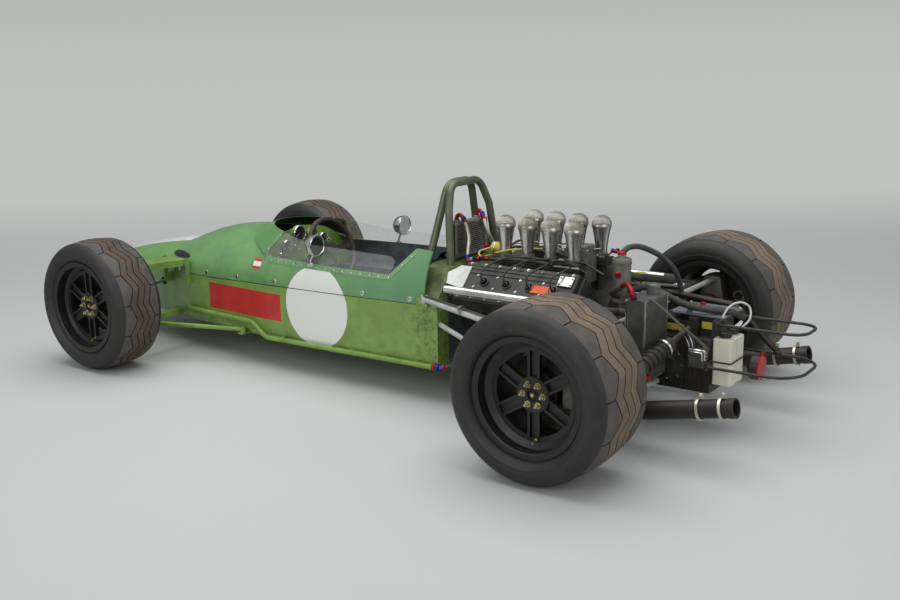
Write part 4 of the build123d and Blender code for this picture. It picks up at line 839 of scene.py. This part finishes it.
def cooler_trim():
    """Oil cooler's fins and frame, hoses and their red and blue unions."""
    fins, hoses, unions = Mesh(), Mesh(), Mesh()
    low, high, half = 574, 700, 104
    for k in range(15):
        z = low + 5 + k * (high - low - 8) / 14
        for s in (803.5, 848.5):
            fins.block(at(s, 0, z), (5.5, 2 * half + 12, 2.2), 0, 0.4)
        if k < 14:
            step = (high - low - 8) / 14
            zig = []
            for j in range(43):
                y = -half + j * 2 * half / 42
                zig.append((y, z + (0.9 if j % 2 else step - 0.9)))
            for s0, s1 in ((802, 806), (846, 850)):
                rows = [[(s, y, h + d) for y, h in zig] for s, d in ((s0, 0.0), (s1, 0.0))]
                rows += [[(s, y, h + 0.5) for y, h in zig] for s in (s1, s0)]
                fins.grid(rows, 1, close_u=True)
    for y in (-112, 112):
        fins.block(at(826, y, 637), (50, 12, 134))
    for y in (-74, 74):
        fins.turned(at(826, y, 700), knob(14, 14, 12, 12), 18)
        # Elbow over the tank, then a braided hose down to the engine.
        knee = bent([(826, y, 712), (824, y, 728), (812, y * 0.98, 736), (798, y * 0.95, 728)], 5)
        unions.tube(knee, 8.5, 12, 1)
        union(unions, (826, y, 706), (826, y, 722), 8.5, 2, 1)
        union(unions, knee[-1], knee[-1] + Vector((-12, -y * 0.04, -26)), 8.5, 2, 1)
        side = 1 if y > 0 else -1
        low_end = Vector((752, side * 106, 566)) if side > 0 else Vector((748, -112, 560))
        hoses.hose([knee[-1] + Vector((-10, 0, -22)), (778, y * 0.92, 676), (766, y, 640),
            (758, side * 92, 600), low_end], 8.6, 12, per=7)
        union(unions, low_end + Vector((2, -side * 2, 14)), low_end + Vector((-4, side * 4, -18)),
            9, 2, 1)
    # Unions on the lines beside the left cover and at the front of the valley.
    for a, b, r in (((716, 108, 566), (680, 120, 572), 10), ((664, 128, 578), (628, 138, 580), 9),
            ((716, 76, 588), (690, 70, 596), 8), ((730, 30, 600), (706, 24, 612), 8)):
        union(unions, a, b, r, 2, 1)
    hoses.hose([(748, 106, 552), (736, 108, 562), (716, 108, 566)], 8.0, 12, per=6)
    hoses.hose([(628, 138, 580), (590, 150, 584), (520, 148, 590), (420, 140, 590),
        (330, 132, 586)], 7.0, 12, 1, per=7)
    # Side pipe ends below the tub's rear corner.
    for side in (1, -1):
        union(unions, (758, side * 355, 158), (726, side * 352, 160), 12, 1, 2)
        union(unions, (724, side * 352, 160), (700, side * 344, 166), 11, 2, 1)
        hoses.hose([(702, side * 344, 166), (660, side * 320, 172), (600, side * 270, 176),
            (560, side * 220, 176)], 9.5, 12, 1, per=7)
        # Brake hose clipped along the upper radius rod.
        hoses.hose([(790, side * 362, 452), (640, side * 402, 446), (420, side * 466, 436),
            (200, side * 528, 428), (60, side * 566, 420)], 4.2, 8, 1, per=7)
        for s, y, z in ((560, 427, 441), (320, 495, 431)):
            unions.band(at(s, side * y, z - 6, (-0.96, side * 0.28, 0)), 11, 18.5, -5, 5, 16)
    fins.build("cooler_fins", "car", [cooler_alloy, bright_alloy], "dark_aluminium")
    hoses.build("oil_hoses", "car", [gauze, hose], "grey_rubber", angle=60)
    unions.build("hose_unions", "car", [bright_steel, red_alloy, blue_alloy], "bright_steel")


# Tail: swirl pot, tank, battery, bottles, lamp, exhaust hangers


def tail_trim():
    """Fittings of the pot, tank, battery, bottles, lamp, dampers, gearbox and exhausts."""
    mesh, lines, red = Mesh(), Mesh(), Mesh()
    # Swirl pot bands, cap and outlets.
    for z in (470, 596):
        mesh.turned(at(86, 30, z), [(36, 0), (38, 0.5), (38, 9), (36, 9.5)], 36, closed=True)
    red.turned(at(86, 30, 634), [(0.001, 12), (12, 12), (16, 9), (17, 0)], 12)
    red.turned(at(86, 62, 560, (-0.5, 1, 0)), knob(12, 16, 9, 12), 12)
    union(red, (104, 30, 640), (128, 40, 648), 7, 0, 1)
    lines.hose([(86, 20, 640), (74, -8, 656), (40, -50, 652), (-20, -100, 612), (-60, -128, 560),
        (-76, -150, 500), (-80, -160, 440)], 11, 14, per=7)
    lines.hose([(48, 30, 500), (20, 30, 506), (-20, 40, 520), (-90, 70, 516), (-180, 60, 480),
        (-262, 30, 462), (-330, -20, 450), (-372, -58, 425)], 13, 14, per=7)
    # Tank: welded edges, sight line, filler cap, strap, elbow and drain.
    for y in (112, 298):
        for s in (-142, -68):
            mesh.tube([(s, y, 228), (s, y, 526)], 2.6, 8, 1)
    for z in (228, 526):
        mesh.tube([(-142, 112, z), (-142, 298, z), (-68, 298, z), (-68, 112, z)], 2.6, 8, 1,
            closed=True)
    mesh.turned(at(-108, 162, 551), [(0.001, 16), (20, 16), (25, 13), (26, 2), (24, 0)], 20)
    for a, u, v in around(10, 25):
        mesh.block(at(-108 + u, 162 + v, 559) @ Matrix.Rotation(a, 4, "Z"), (4, 7, 12))
    mesh.hose([(-140, 262, 532), (-156, 250, 520), (-230, 200, 440), (-300, 128, 350),
        (-306, 112, 330)], 5, 10, 2, per=5)
    red.hose([(-92, 286, 524), (-92, 300, 548), (-82, 290, 566), (-50, 262, 576), (-20, 240, 560)],
        9.5, 12, per=6)
    red.turned(at(-92, 284, 518, (0, 0.25, 1)), knob(13, 22, 11, 16), 8, 1)
    lines.hose([(-24, 242, 560), (10, 220, 540), (48, 170, 520), (80, 120, 500), (84, 70, 480)], 12,
        14, per=6)
    red.turned(at(-142, 288, 250, (-1, 0.3, 0)), [(0.001, 22), (10, 22), (13, 18), (13, 4),
        (16, 0)], 12)
    # Battery terminals, plate bolts and the control box below the plate.
    for s, y, f in ((-196, -94, red), (-196, 30, mesh)):
        f.turned(at(s, y, 438), knob(10, 18, 8, 14), 14)
    for s, y in ((-330, -126), (-330, 42), (-134, -126), (-134, 42)):
        bolt(mesh, s, y, 442.3, (0, 0, 1), 5, 5, 3)
    mesh.block(at(-272, 119, 300), (66, 40, 74), 3, 3)
    mesh.block(at(-272, 142, 300), (50, 8, 58), 3, 2)
    for ds in (-25, 25):
        for dz in (-29, 29):
            bolt(mesh, -272 + ds, 138, 300 + dz, (0, 1, 0), 4, 4, 1)
    for k in range(5):
        mesh.block(at(-306.5, 119, 274 + k * 13), (4, 34, 4), 3, 0.8)
        lines.tube(bent([(-262 + k * 7, 130, 338), (-258 + k * 8, 128, 356),
            (-240 + k * 12, 108, 372 + k * 4), (-200 + k * 8, 80, 384)], 5), 2.2, 6, k % 2)
    mesh.block(at(-128, 67.2, 390), (124, 2.4, 24), 6, 0.5)
    mesh.block(at(-272, 41.2, 404), (44, 2.4, 26), 6, 0.5)
    # Bottles: ribbed caps, strap, and liquid line; lamp bezel and bulb boss.
    for y in (8, 74):
        mesh.turned(at(-354, y, 374), [(0.001, 27), (19, 27), (22, 24), (22, 6), (15, 5), (15, 0)],
            28, 4)
        for a, u, v in around(18, 22):
            mesh.block(at(-354 + u, y + v, 390) @ Matrix.Rotation(a, 4, "Z"), (2.4, 3.0, 16), 4)
        lines.hose([(-354, y, 400), (-352, y, 424), (-346, y + 14, 444), (-330, y + 20, 430),
            (-318, y + 10, 400)], 4, 8, per=6)
    strap = [(-392, -27), (-392, 109), (-316, 109), (-316, -27)]
    mesh.tube([(s, y, 292) for s, y in strap], 3.4, 6, 4, closed=True)
    mesh.turned(at(-402, -92, 236, (-1, 0, 0)), [(46.8, 0), (48.6, 1), (48.6, 26), (47.6, 28),
        (46.8, 28)], 40, 4, closed=True)
    mesh.turned(at(-400, -92, 236, (1, 0, 0)), [(47.5, -2), (44, 3), (20, 7), (12, 8), (12, 18),
        (0.001, 18)], 32, 4)
    # Pale loop of wire by the bottles.
    lines.hose([(-316, 20, 430), (-330, -10, 470), (-360, -40, 486), (-392, -52, 470),
        (-400, -40, 430), (-380, -20, 400)], 4, 8, 1)
    # Hanger rings on the exhausts, each with its clip and rod.
    for side in (1, -1):
        for t in (0.62, 0.86):
            s = -190 - 330 * t
            z = 160 + 69 * t
            axis = Vector((-330, 0, 69)).normalized()
            mesh.band(at(s, side * 379, z, axis), 36.5, 40, -5, 5, 36, 5)
            mesh.block(at(s, side * 379, z + 46), (12, 9, 20), 5)
            bolt(mesh, s, side * 384, z + 48, (0, 1, 0), 4, 4, 5)
    # Spring coils over the dampers.
    for side in (1, -1):
        a, b = Vector((-228, side * 108, 402)), Vector((-92, side * 628, 214))
        way = (b - a).normalized()
        base = way.orthogonal().normalized()
        other = way.cross(base)
        turns, path = 11, []
        low, high = a.lerp(b, 0.26), a.lerp(b, 0.74)
        for k in range(turns * 14 + 1):
            t = k / (turns * 14)
            p = low.lerp(high, t)
            ang = 2 * pi * turns * t
            path.append(p + (base * cos(ang) + other * sin(ang)) * 31)
        mesh.tube(path, 4.2, 7, 4)
        for p in (low, high):
            mesh.band(at(*p, way), 20, 37, -4, 4, 28, 3)
    # Reservoirs by the gearbox with pale green caps.
    for s, y in ((120, -190), (150, -258)):
        mesh.turned(at(s, y, 428), [(0.001, 0), (24, 0), (27, 3), (27, 56), (24, 60)], 26, 3)
        mesh.turned(at(s, y, 488), [(24, 0), (29, 0), (30, 3), (30, 12), (27, 15), (0.001, 16)], 26,
            6)
        mesh.block(at(s, y * 0.9, 440), (36, 30, 6), 3)
    # Gearbox ribs, covers and studs.
    for k in range(7):
        s = -58 - k * 36
        for side in (1, -1):
            mesh.block(at(s, side * 102, 262), (7, 8, 176), 7)
    for side in (1, -1):
        mesh.turned(at(-150, side * 100, 258, (0, side, 0)),
            [(0.001, 16), (30, 16), (34, 12), (62, 9), (66, 5), (66, 0)], 40, 7)
        for a, u, v in around(8, 56):
            bolt(mesh, -150 + u, side * 108, 258 + v, (0, side, 0), 5, 5, 3)
    for k in range(10):
        for side in (1, -1):
            bolt(mesh, -38, side * (20 + 16 * (k % 5)), 175 + 180 * (k // 5), (1, 0, 0), 4, 4, 3)
    mesh.build("tail_fittings", "car", [tank_alloy, bright_steel, olive, bright_alloy, plastic,
        gauze, yellow, gear_alloy], "bright_steel")
    lines.build("tail_hoses", "car", [hose, white_plate], "grey_rubber", angle=60)
    red.build("red_fittings", "car", [red_alloy, blue_alloy], "red_lens")


# Body: rivets, opening's edge strip, fasteners, hoop feet


def body_trim():
    """Tub's rivets, edge strip of the cowl's opening, quarter turn fasteners and hoops' bolts."""
    rivets, strip, studs = Mesh(), Mesh(), Mesh()
    centre, height, radius = ROUNDEL

    def rivet(s, z):
        """Rivet at a place on the tub's side, unless the roundel is there."""
        if hypot(s - centre, z - height) > radius + 8:
            stud(rivets, s, side * between(TUB, s, 1), z, (0, side, 0), 3.0, 1.3)

    for side in (1, -1):
        for s in range(770, 2430, 34):
            rivet(s, seam(s) - 13)
            rivet(s, 186)
        for s in (764, 800, 1160, 1700, 2130):
            for z in range(204, 405, 26):
                on_panel = 1600 < s < 2115 and 214 < z < 362
                if z < seam(s) - 24 and not on_panel:
                    rivet(s, z)
        # Strip round the opening as (station, height), set with pale studs.
        path = [(905, 608), (970, 537), (1004, 505), (1100, 505), (1400, 504), (1700, 503)]
        path += [(1738 - HOOD_LEAN * (z - 506), z) for z in (506, 530, 560, 590, 606)]
        edge = split(path, 24) + [path[-1]]
        rows, ways = [], []
        for i, (s, z) in enumerate(edge):
            a, b = edge[max(i - 1, 0)], edge[min(i + 1, len(edge) - 1)]
            ds, dz = b[0] - a[0], b[1] - a[1]
            size = hypot(ds, dz)
            ways.append((dz / size, -ds / size))
            across = (dz / size * 20, -ds / size * 20)
            ring = []
            for f, lift in ((0.08, 1.9), (1.0, 1.9), (1.0, -1.0), (0.08, -1.0)):
                u, v = s + across[0] * f, z + across[1] * f
                ring.append((u, side * cowl_side(u, v, lift), v))
            rows.append(ring[::side])
        strip.grid(rows, close_v=True, caps=True)
        for (s, z), (du, dv) in zip(edge[1:-1:2], ways[1:-1:2]):
            u, v = s + du * 11, z + dv * 11
            axis = (0, side, (v - seam(u)) / 340)
            stud(strip, u, side * cowl_side(u, v, 1.9), v, axis, 3.4, 1.6, 1)
        for s in (880, 1130, 1650, 1900, 2120, 2330):
            z = seam(s) + 20
            y = cowl_side(s, z, 0.4)
            head = [(0.001, 1.6), (7.5, 1.6), (10.5, 0.8), (11, 0), (11, -2)]
            studs.turned(at(s, side * y, z, (0, side, 0.05)), head, 20)
            studs.block(at(s, side * (y + 2.0), z, (0, side, 0.05), 35), (11, 2, 1.4), 1)
        for s, across, up in ((716, 300, 470), (716, 316, 452), (716, 330, 434), (700, 300, 452)):
            bolt(studs, s, side * across, up, (-0.2, side, 0.4), 4.5, 4, 1)
    rivets.build("tub_rivets", "car", [lime_plain], "lime_paint", angle=50)
    strip.build("opening_strip", "car", [green_edge, bright_alloy], "green_paint", angle=40)
    studs.build("panel_fasteners", "car", [bright_alloy, dark_steel], "bright_steel")


# Cockpit: padded seat, belts, gauges, mirrors; brakes

# Station of the instrument panel's face.
GAUGE_FACE = 1755.6


def seat_pad():
    """Quilted vinyl seat with cross ribs, wrapped round the reclined shape, and its shell."""
    line = [(888, 548), (905, 546), (940, 452), (985, 330), (1040, 268), (1110, 215), (1200, 204),
        (1310, 196), (1420, 195), (1458, 222), (1484, 228)]
    top = bent([(s, 0, z) for s, z in line], 14)
    lengths = [0.0]
    for a, b in zip(top, top[1:]):
        lengths.append(lengths[-1] + (b - a).length)
    half, count = 160, 36
    rows = []
    for i, p in enumerate(top):
        way = heading(top, i)
        normal = Vector((-way.z, 0, way.x))
        if normal.z < 0:
            normal = -normal
        rib = abs(sin(pi * lengths[i] / 52.0)) ** 0.45
        end = min(1.0, min(lengths[i], lengths[-1] - lengths[i]) / 26.0)
        row = []
        for v in (-1 + 2 * k / count for k in range(count + 1)):
            roll = sqrt(max(0.0, 1 - abs(v) ** 7))
            bolster = 20 * max(0.0, abs(v) - 0.62) / 0.38
            middle = rib * 6 * (1 if abs(v) < 0.66 else 0.25)
            seam_dip = 4.5 * max(0.0, 1 - abs(abs(v) - 0.66) / 0.05)
            high = (-6 + middle + bolster - seam_dip) * roll * end - 10 * (1 - roll) - 6 * (1 - end)
            row.append(p + normal * high + Vector((0, v * half, 0)))
        for v in (-1 + 2 * k / count for k in range(count, -1, -4)):
            row.append(p - normal * 22 + Vector((0, v * (half - 6), 0)))
        rows.append(row)
    mesh, shell = Mesh(), Mesh()
    mesh.grid(rows, close_v=True, caps=True)
    made = mesh.build("seat_padding", "car", [vinyl], "black_vinyl", angle=75)
    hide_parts("seat")
    outline = [(905, 540), (985, 322), (1110, 190), (1440, 172), (1440, 158), (1060, 158),
        (930, 300), (880, 520)]
    rows = [[(s, y, z) for s, z in outline] for y in (-140, 140)]
    shell.grid(rows, close_v=True, caps=True)
    shell.build("seat_shell", "car", [dark_alu], "dark_aluminium")


def heading(path, i):
    """Direction of a path at one of its points."""
    return (path[min(i + 1, len(path) - 1)] - path[max(i - 1, 0)]).normalized()


def belts():
    """Shoulder and lap belts with their buckle and adjusters."""
    webbing, metal = Mesh(), Mesh()

    def strap(points, width, normal):
        path = bent(points)
        rows = []
        for i, p in enumerate(path):
            way = heading(path, i)
            across = way.cross(Vector(normal)).normalized() * width / 2
            up = across.cross(way).normalized() * 1.3
            rows.append([p - across - up, p + across - up, p + across + up, p - across + up])
        webbing.grid(rows, close_v=True, caps=True)

    for side in (1, -1):
        strap([(868, side * 60, 556), (905, side * 66, 564), (940, side * 70, 474),
            (992, side * 74, 346), (1060, side * 66, 276), (1120, side * 40, 236),
            (1160, side * 14, 226)], 48, (0.8, 0, 0.6))
        strap([(1060, side * 158, 262), (1110, side * 140, 252), (1150, side * 90, 234),
            (1170, side * 26, 226)], 46, (0.1, 0, 1))
        metal.block(at(1016, side * 74, 330) @ Matrix.Rotation(radians(-52), 4, "Y"), (44, 58, 6))
    metal.turned(at(1168, 0, 224), [(0.001, 14), (22, 14), (30, 10), (32, 3), (30, 0)], 28)
    webbing.build("belt_straps", "car", [belt_blue], "black_vinyl", angle=60)
    metal.build("belt_buckles", "car", [bright_alloy], "bright_alloy")


def gauges():
    """Gauges with rims, marks and hands, and the switches between them."""
    faces, rims = Mesh(), Mesh()
    for y, z, r in ((44, 572, 38), (-44, 560, 30), (128, 528, 26), (-120, 528, 26), (168, 478, 22),
            (-168, 478, 22)):
        place = at(GAUGE_FACE, y, z, (-1, 0, 0))
        rims.turned(place, [(r - 3, 0), (r + 1.5, 0), (r + 2, 3), (r, 7), (r - 2, 7.5),
            (r - 3.2, 5)], 32, closed=True)
        faces.turned(place, [(0.001, 1.8), (r - 3, 1.8), (r - 3, 0)], 32)
        for k in range(15):
            a = radians(-130 + 260 * k / 14)
            long = 5.5 if k % 2 == 0 else 3.2
            m = (r - 5 - long / 2)
            mark = place @ Matrix.Rotation(a, 4, "Z") @ Matrix.Translation((m, 0, 2.2))
            faces.block(mark, (long, 1.1, 0.8), 1, 0.1)
        hand = place @ Matrix.Rotation(radians(70 + y), 4, "Z") @ Matrix.Translation((r * 0.28, 0,
            3.0))
        faces.block(hand, (r * 0.8, 1.6, 0.8), 1, 0.1)
        faces.turned(place, [(0.001, 4.4), (3.4, 4.4), (3.8, 1.8)], 14, 2)
    for y, z in ((84, 520), (60, 500), (-70, 505), (-150, 520)):
        rims.turned(at(GAUGE_FACE, y, z, (-1, 0, 0)), [(0.001, 24), (2.6, 24), (3.4, 21), (2.6, 12),
            (6, 9), (7, 0)], 12)
    faces.build("gauge_faces", "car", [dial, dial_mark, black], "black_plastic")
    rims.build("gauge_rims", "car", [chrome], "chrome")


def mirror_trim():
    """Round mirrors: housing, rim, glass, ball joint and a short arm off the screen's foot."""
    mesh = Mesh()
    for side in (1, -1):
        dome = [(46, 0), (46, 11)]
        dome += [(46 * cos(pi / 2 * k / 12), 12 + 46 * sin(pi / 2 * k / 12))
            for k in range(1, 12)] + [(0.001, 58)]
        mesh.turned(at(1403, side * 308, 588, (1, 0, 0)), dome, 48)
        back = at(1403, side * 308, 588, (-1, 0, 0))
        mesh.turned(back, [(0.001, 1.2), (43, 1.2), (43, 0)], 48, 1)
        mesh.turned(back, [(42, 0), (42, 3.5), (44.5, 5), (47.5, 3), (47.5, -8), (45.5, -8)], 48,
            closed=True)
        arm = bent([(1425, side * 308, 552), (1432, side * 309, 536), (1440, side * 310, 520),
            (1442, side * 311, 503)], 6)
        mesh.tube(arm, 5, 12)
        mesh.turned(at(1425, side * 308, 538, (0, 0, 1)), [(0.001, 0), (7, 1), (10, 6), (10, 11),
            (7, 16), (0.001, 17)], 20)
        mesh.block(at(1442, side * 311, 500), (34, 7, 16), 0, 2)
    made = mesh.build("mirror_pair", "car", [chrome, mirror_glass], "chrome")
    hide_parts("mirrors")


def brakes():
    """Calipers clasping the discs, on the knuckles and uprights."""
    section = [(92, -26), (134, -26), (140, -20), (140, 20), (134, 26), (92, 26), (90, 22), (90, 9),
        (131, 8), (131, -8), (90, -9), (90, -22)]
    span = 46
    for name, spec, sign in CORNERS:
        end, side = name.split("_")
        mesh = Mesh()
        centre = Vector((spec["s"], sign * (spec["y"] + spec["face"] - 50 - 18), spec["z"]))
        angle = radians(90 if end == "front" else -80)
        rows = []
        for k in range(9):
            a = angle + radians(-span / 2 + span * k / 8)
            ring = [centre + Vector((r * sin(a), sign * y, r * cos(a))) for r, y in section]
            rows.append(ring[::sign])
        mesh.grid(rows, close_v=True, caps=True)
        for a in (angle + radians(-12), angle + radians(12)):
            place = centre + Vector((112 * sin(a), -sign * 26, 112 * cos(a)))
            piston = [(0.001, 5), (14, 5), (17, 3), (17, -1)]
            mesh.turned(at(*place, (0, -sign, 0)), piston, 20, 1)
        body = f"knuckle_{side}" if end == "front" else "car"
        mesh.build(f"{name}_caliper", body, [cast, dark_steel], "cast_alloy")


trumpets()
cover_trim()
injection_trim()
cooler_trim()
tail_trim()
body_trim()
seat_pad()
belts()
gauges()
mirror_trim()
brakes()


# Camera, lamps and stage


def stage_finish():
    """Pale studio paper; far behind the car the camera sees it glow with painted light, a little
    darker higher up.
    """
    f = Finish("paper", 0.9)
    grain = f.both(f.noise(2.2, 3.0), 0.06)
    tone = f.mix(grain, rgb("babcbb"), rgb("aaacaa"))
    f.give(Base_Color=tone, Normal=f.bump(f.noise(350.0, 3.0), 0.0003, 0.3))
    f.give(Specular_IOR_Level=0.15)
    ahead = f.calc("SUBTRACT", f.both(f.x, VIEW_X), f.both(f.y, -VIEW_Y))
    far = f.ramp(ahead, 0.6, 6.0)
    # Painted light: the far paper glows, a little darker higher up.
    tone = f.mix(f.ramp(f.z, 0.4, 3.4), rgb("c0c2c0"), rgb("b0b2af"))
    painted_glow = f.new("ShaderNodeEmission", Color=tone, Strength=1.0)
    seen = f.new("ShaderNodeLightPath").outputs["Is Camera Ray"]
    shaders = dict(_1=f.shader.outputs[0], _2=painted_glow.outputs[0])
    f.put(f.out, f.new("ShaderNodeMixShader", _0=f.both(far, seen), **shaders).outputs[0])
    return f.mat


def stage():
    """Floor that sweeps up into a backdrop behind the car as the camera sees it."""
    view, side = Vector((VIEW_X, VIEW_Y, 0)), Vector((-VIEW_Y, VIEW_X, 0))
    profile = [(-14, 0), (5, 0), (6.5, 0.0)]
    turns = [pi / 2 * k / 16 for k in range(1, 17)]
    profile += [(6.5 + 5 * sin(t), 5 * (1 - cos(t))) for t in turns] + [(11.5, 14)]
    data = bpy.data.meshes.new("studio_sweep")
    points = [view * d + side * w + Vector((0, 0, h)) for d, h in profile for w in (-22, 22)]
    faces = [(2 * i, 2 * i + 1, 2 * i + 3, 2 * i + 2) for i in range(len(profile) - 1)]
    data.from_pydata(points, [], faces)
    data.materials.append(stage_finish())
    data.polygons.foreach_set("use_smooth", [True] * len(data.polygons))
    obj = link("studio_sweep", data)


def lamp(name, place, target, size, power):
    data = bpy.data.lights.new(name, "AREA")
    data.shape, data.size, data.size_y = "RECTANGLE", *size
    data.energy = power
    obj = link(name, data)
    obj.location = place
    obj.rotation_euler = (Vector(target) - Vector(place)).to_track_quat("-Z", "Y").to_euler()


def camera():
    """The photograph's camera, solved from the wheels."""
    forward = Vector((0.5697, -0.7893, -0.2291)).normalized()
    right = forward.cross(Vector((0, 0, 1))).normalized()
    up = right.cross(forward)
    roll = -0.0169
    right, up = right * cos(roll) + up * sin(roll), up * cos(roll) - right * sin(roll)
    data = bpy.data.cameras.new("camera")
    data.lens, data.sensor_width = 43.17, 36
    obj = link("camera", data)
    turn = Matrix((right, up, -forward)).transposed().to_4x4()
    obj.matrix_world = Matrix.Translation(Vector((-2.99095, 3.69621, 1.41768))) @ turn
    bpy.context.scene.camera = obj


stage()
lamp("top_soft", (0, 0.3, 4.6), (0, 0, 0), (6.5, 5.0), 235)
lamp("side_soft", (-0.5, 6.5, 3.2), (0, 0, 0.3), (6.0, 3.0), 125)
lamp("tail_soft", (-6.0, 0.5, 2.6), (0, 0, 0.4), (3.0, 3.0), 48)
world = bpy.data.worlds.new("room")
world.use_nodes = True
world.node_tree.nodes["Background"].inputs[0].default_value = rgb("dee2e4")
world.node_tree.nodes["Background"].inputs[1].default_value = 0.5
bpy.context.scene.world = world
bpy.context.scene.view_settings.view_transform = "Standard"
camera()
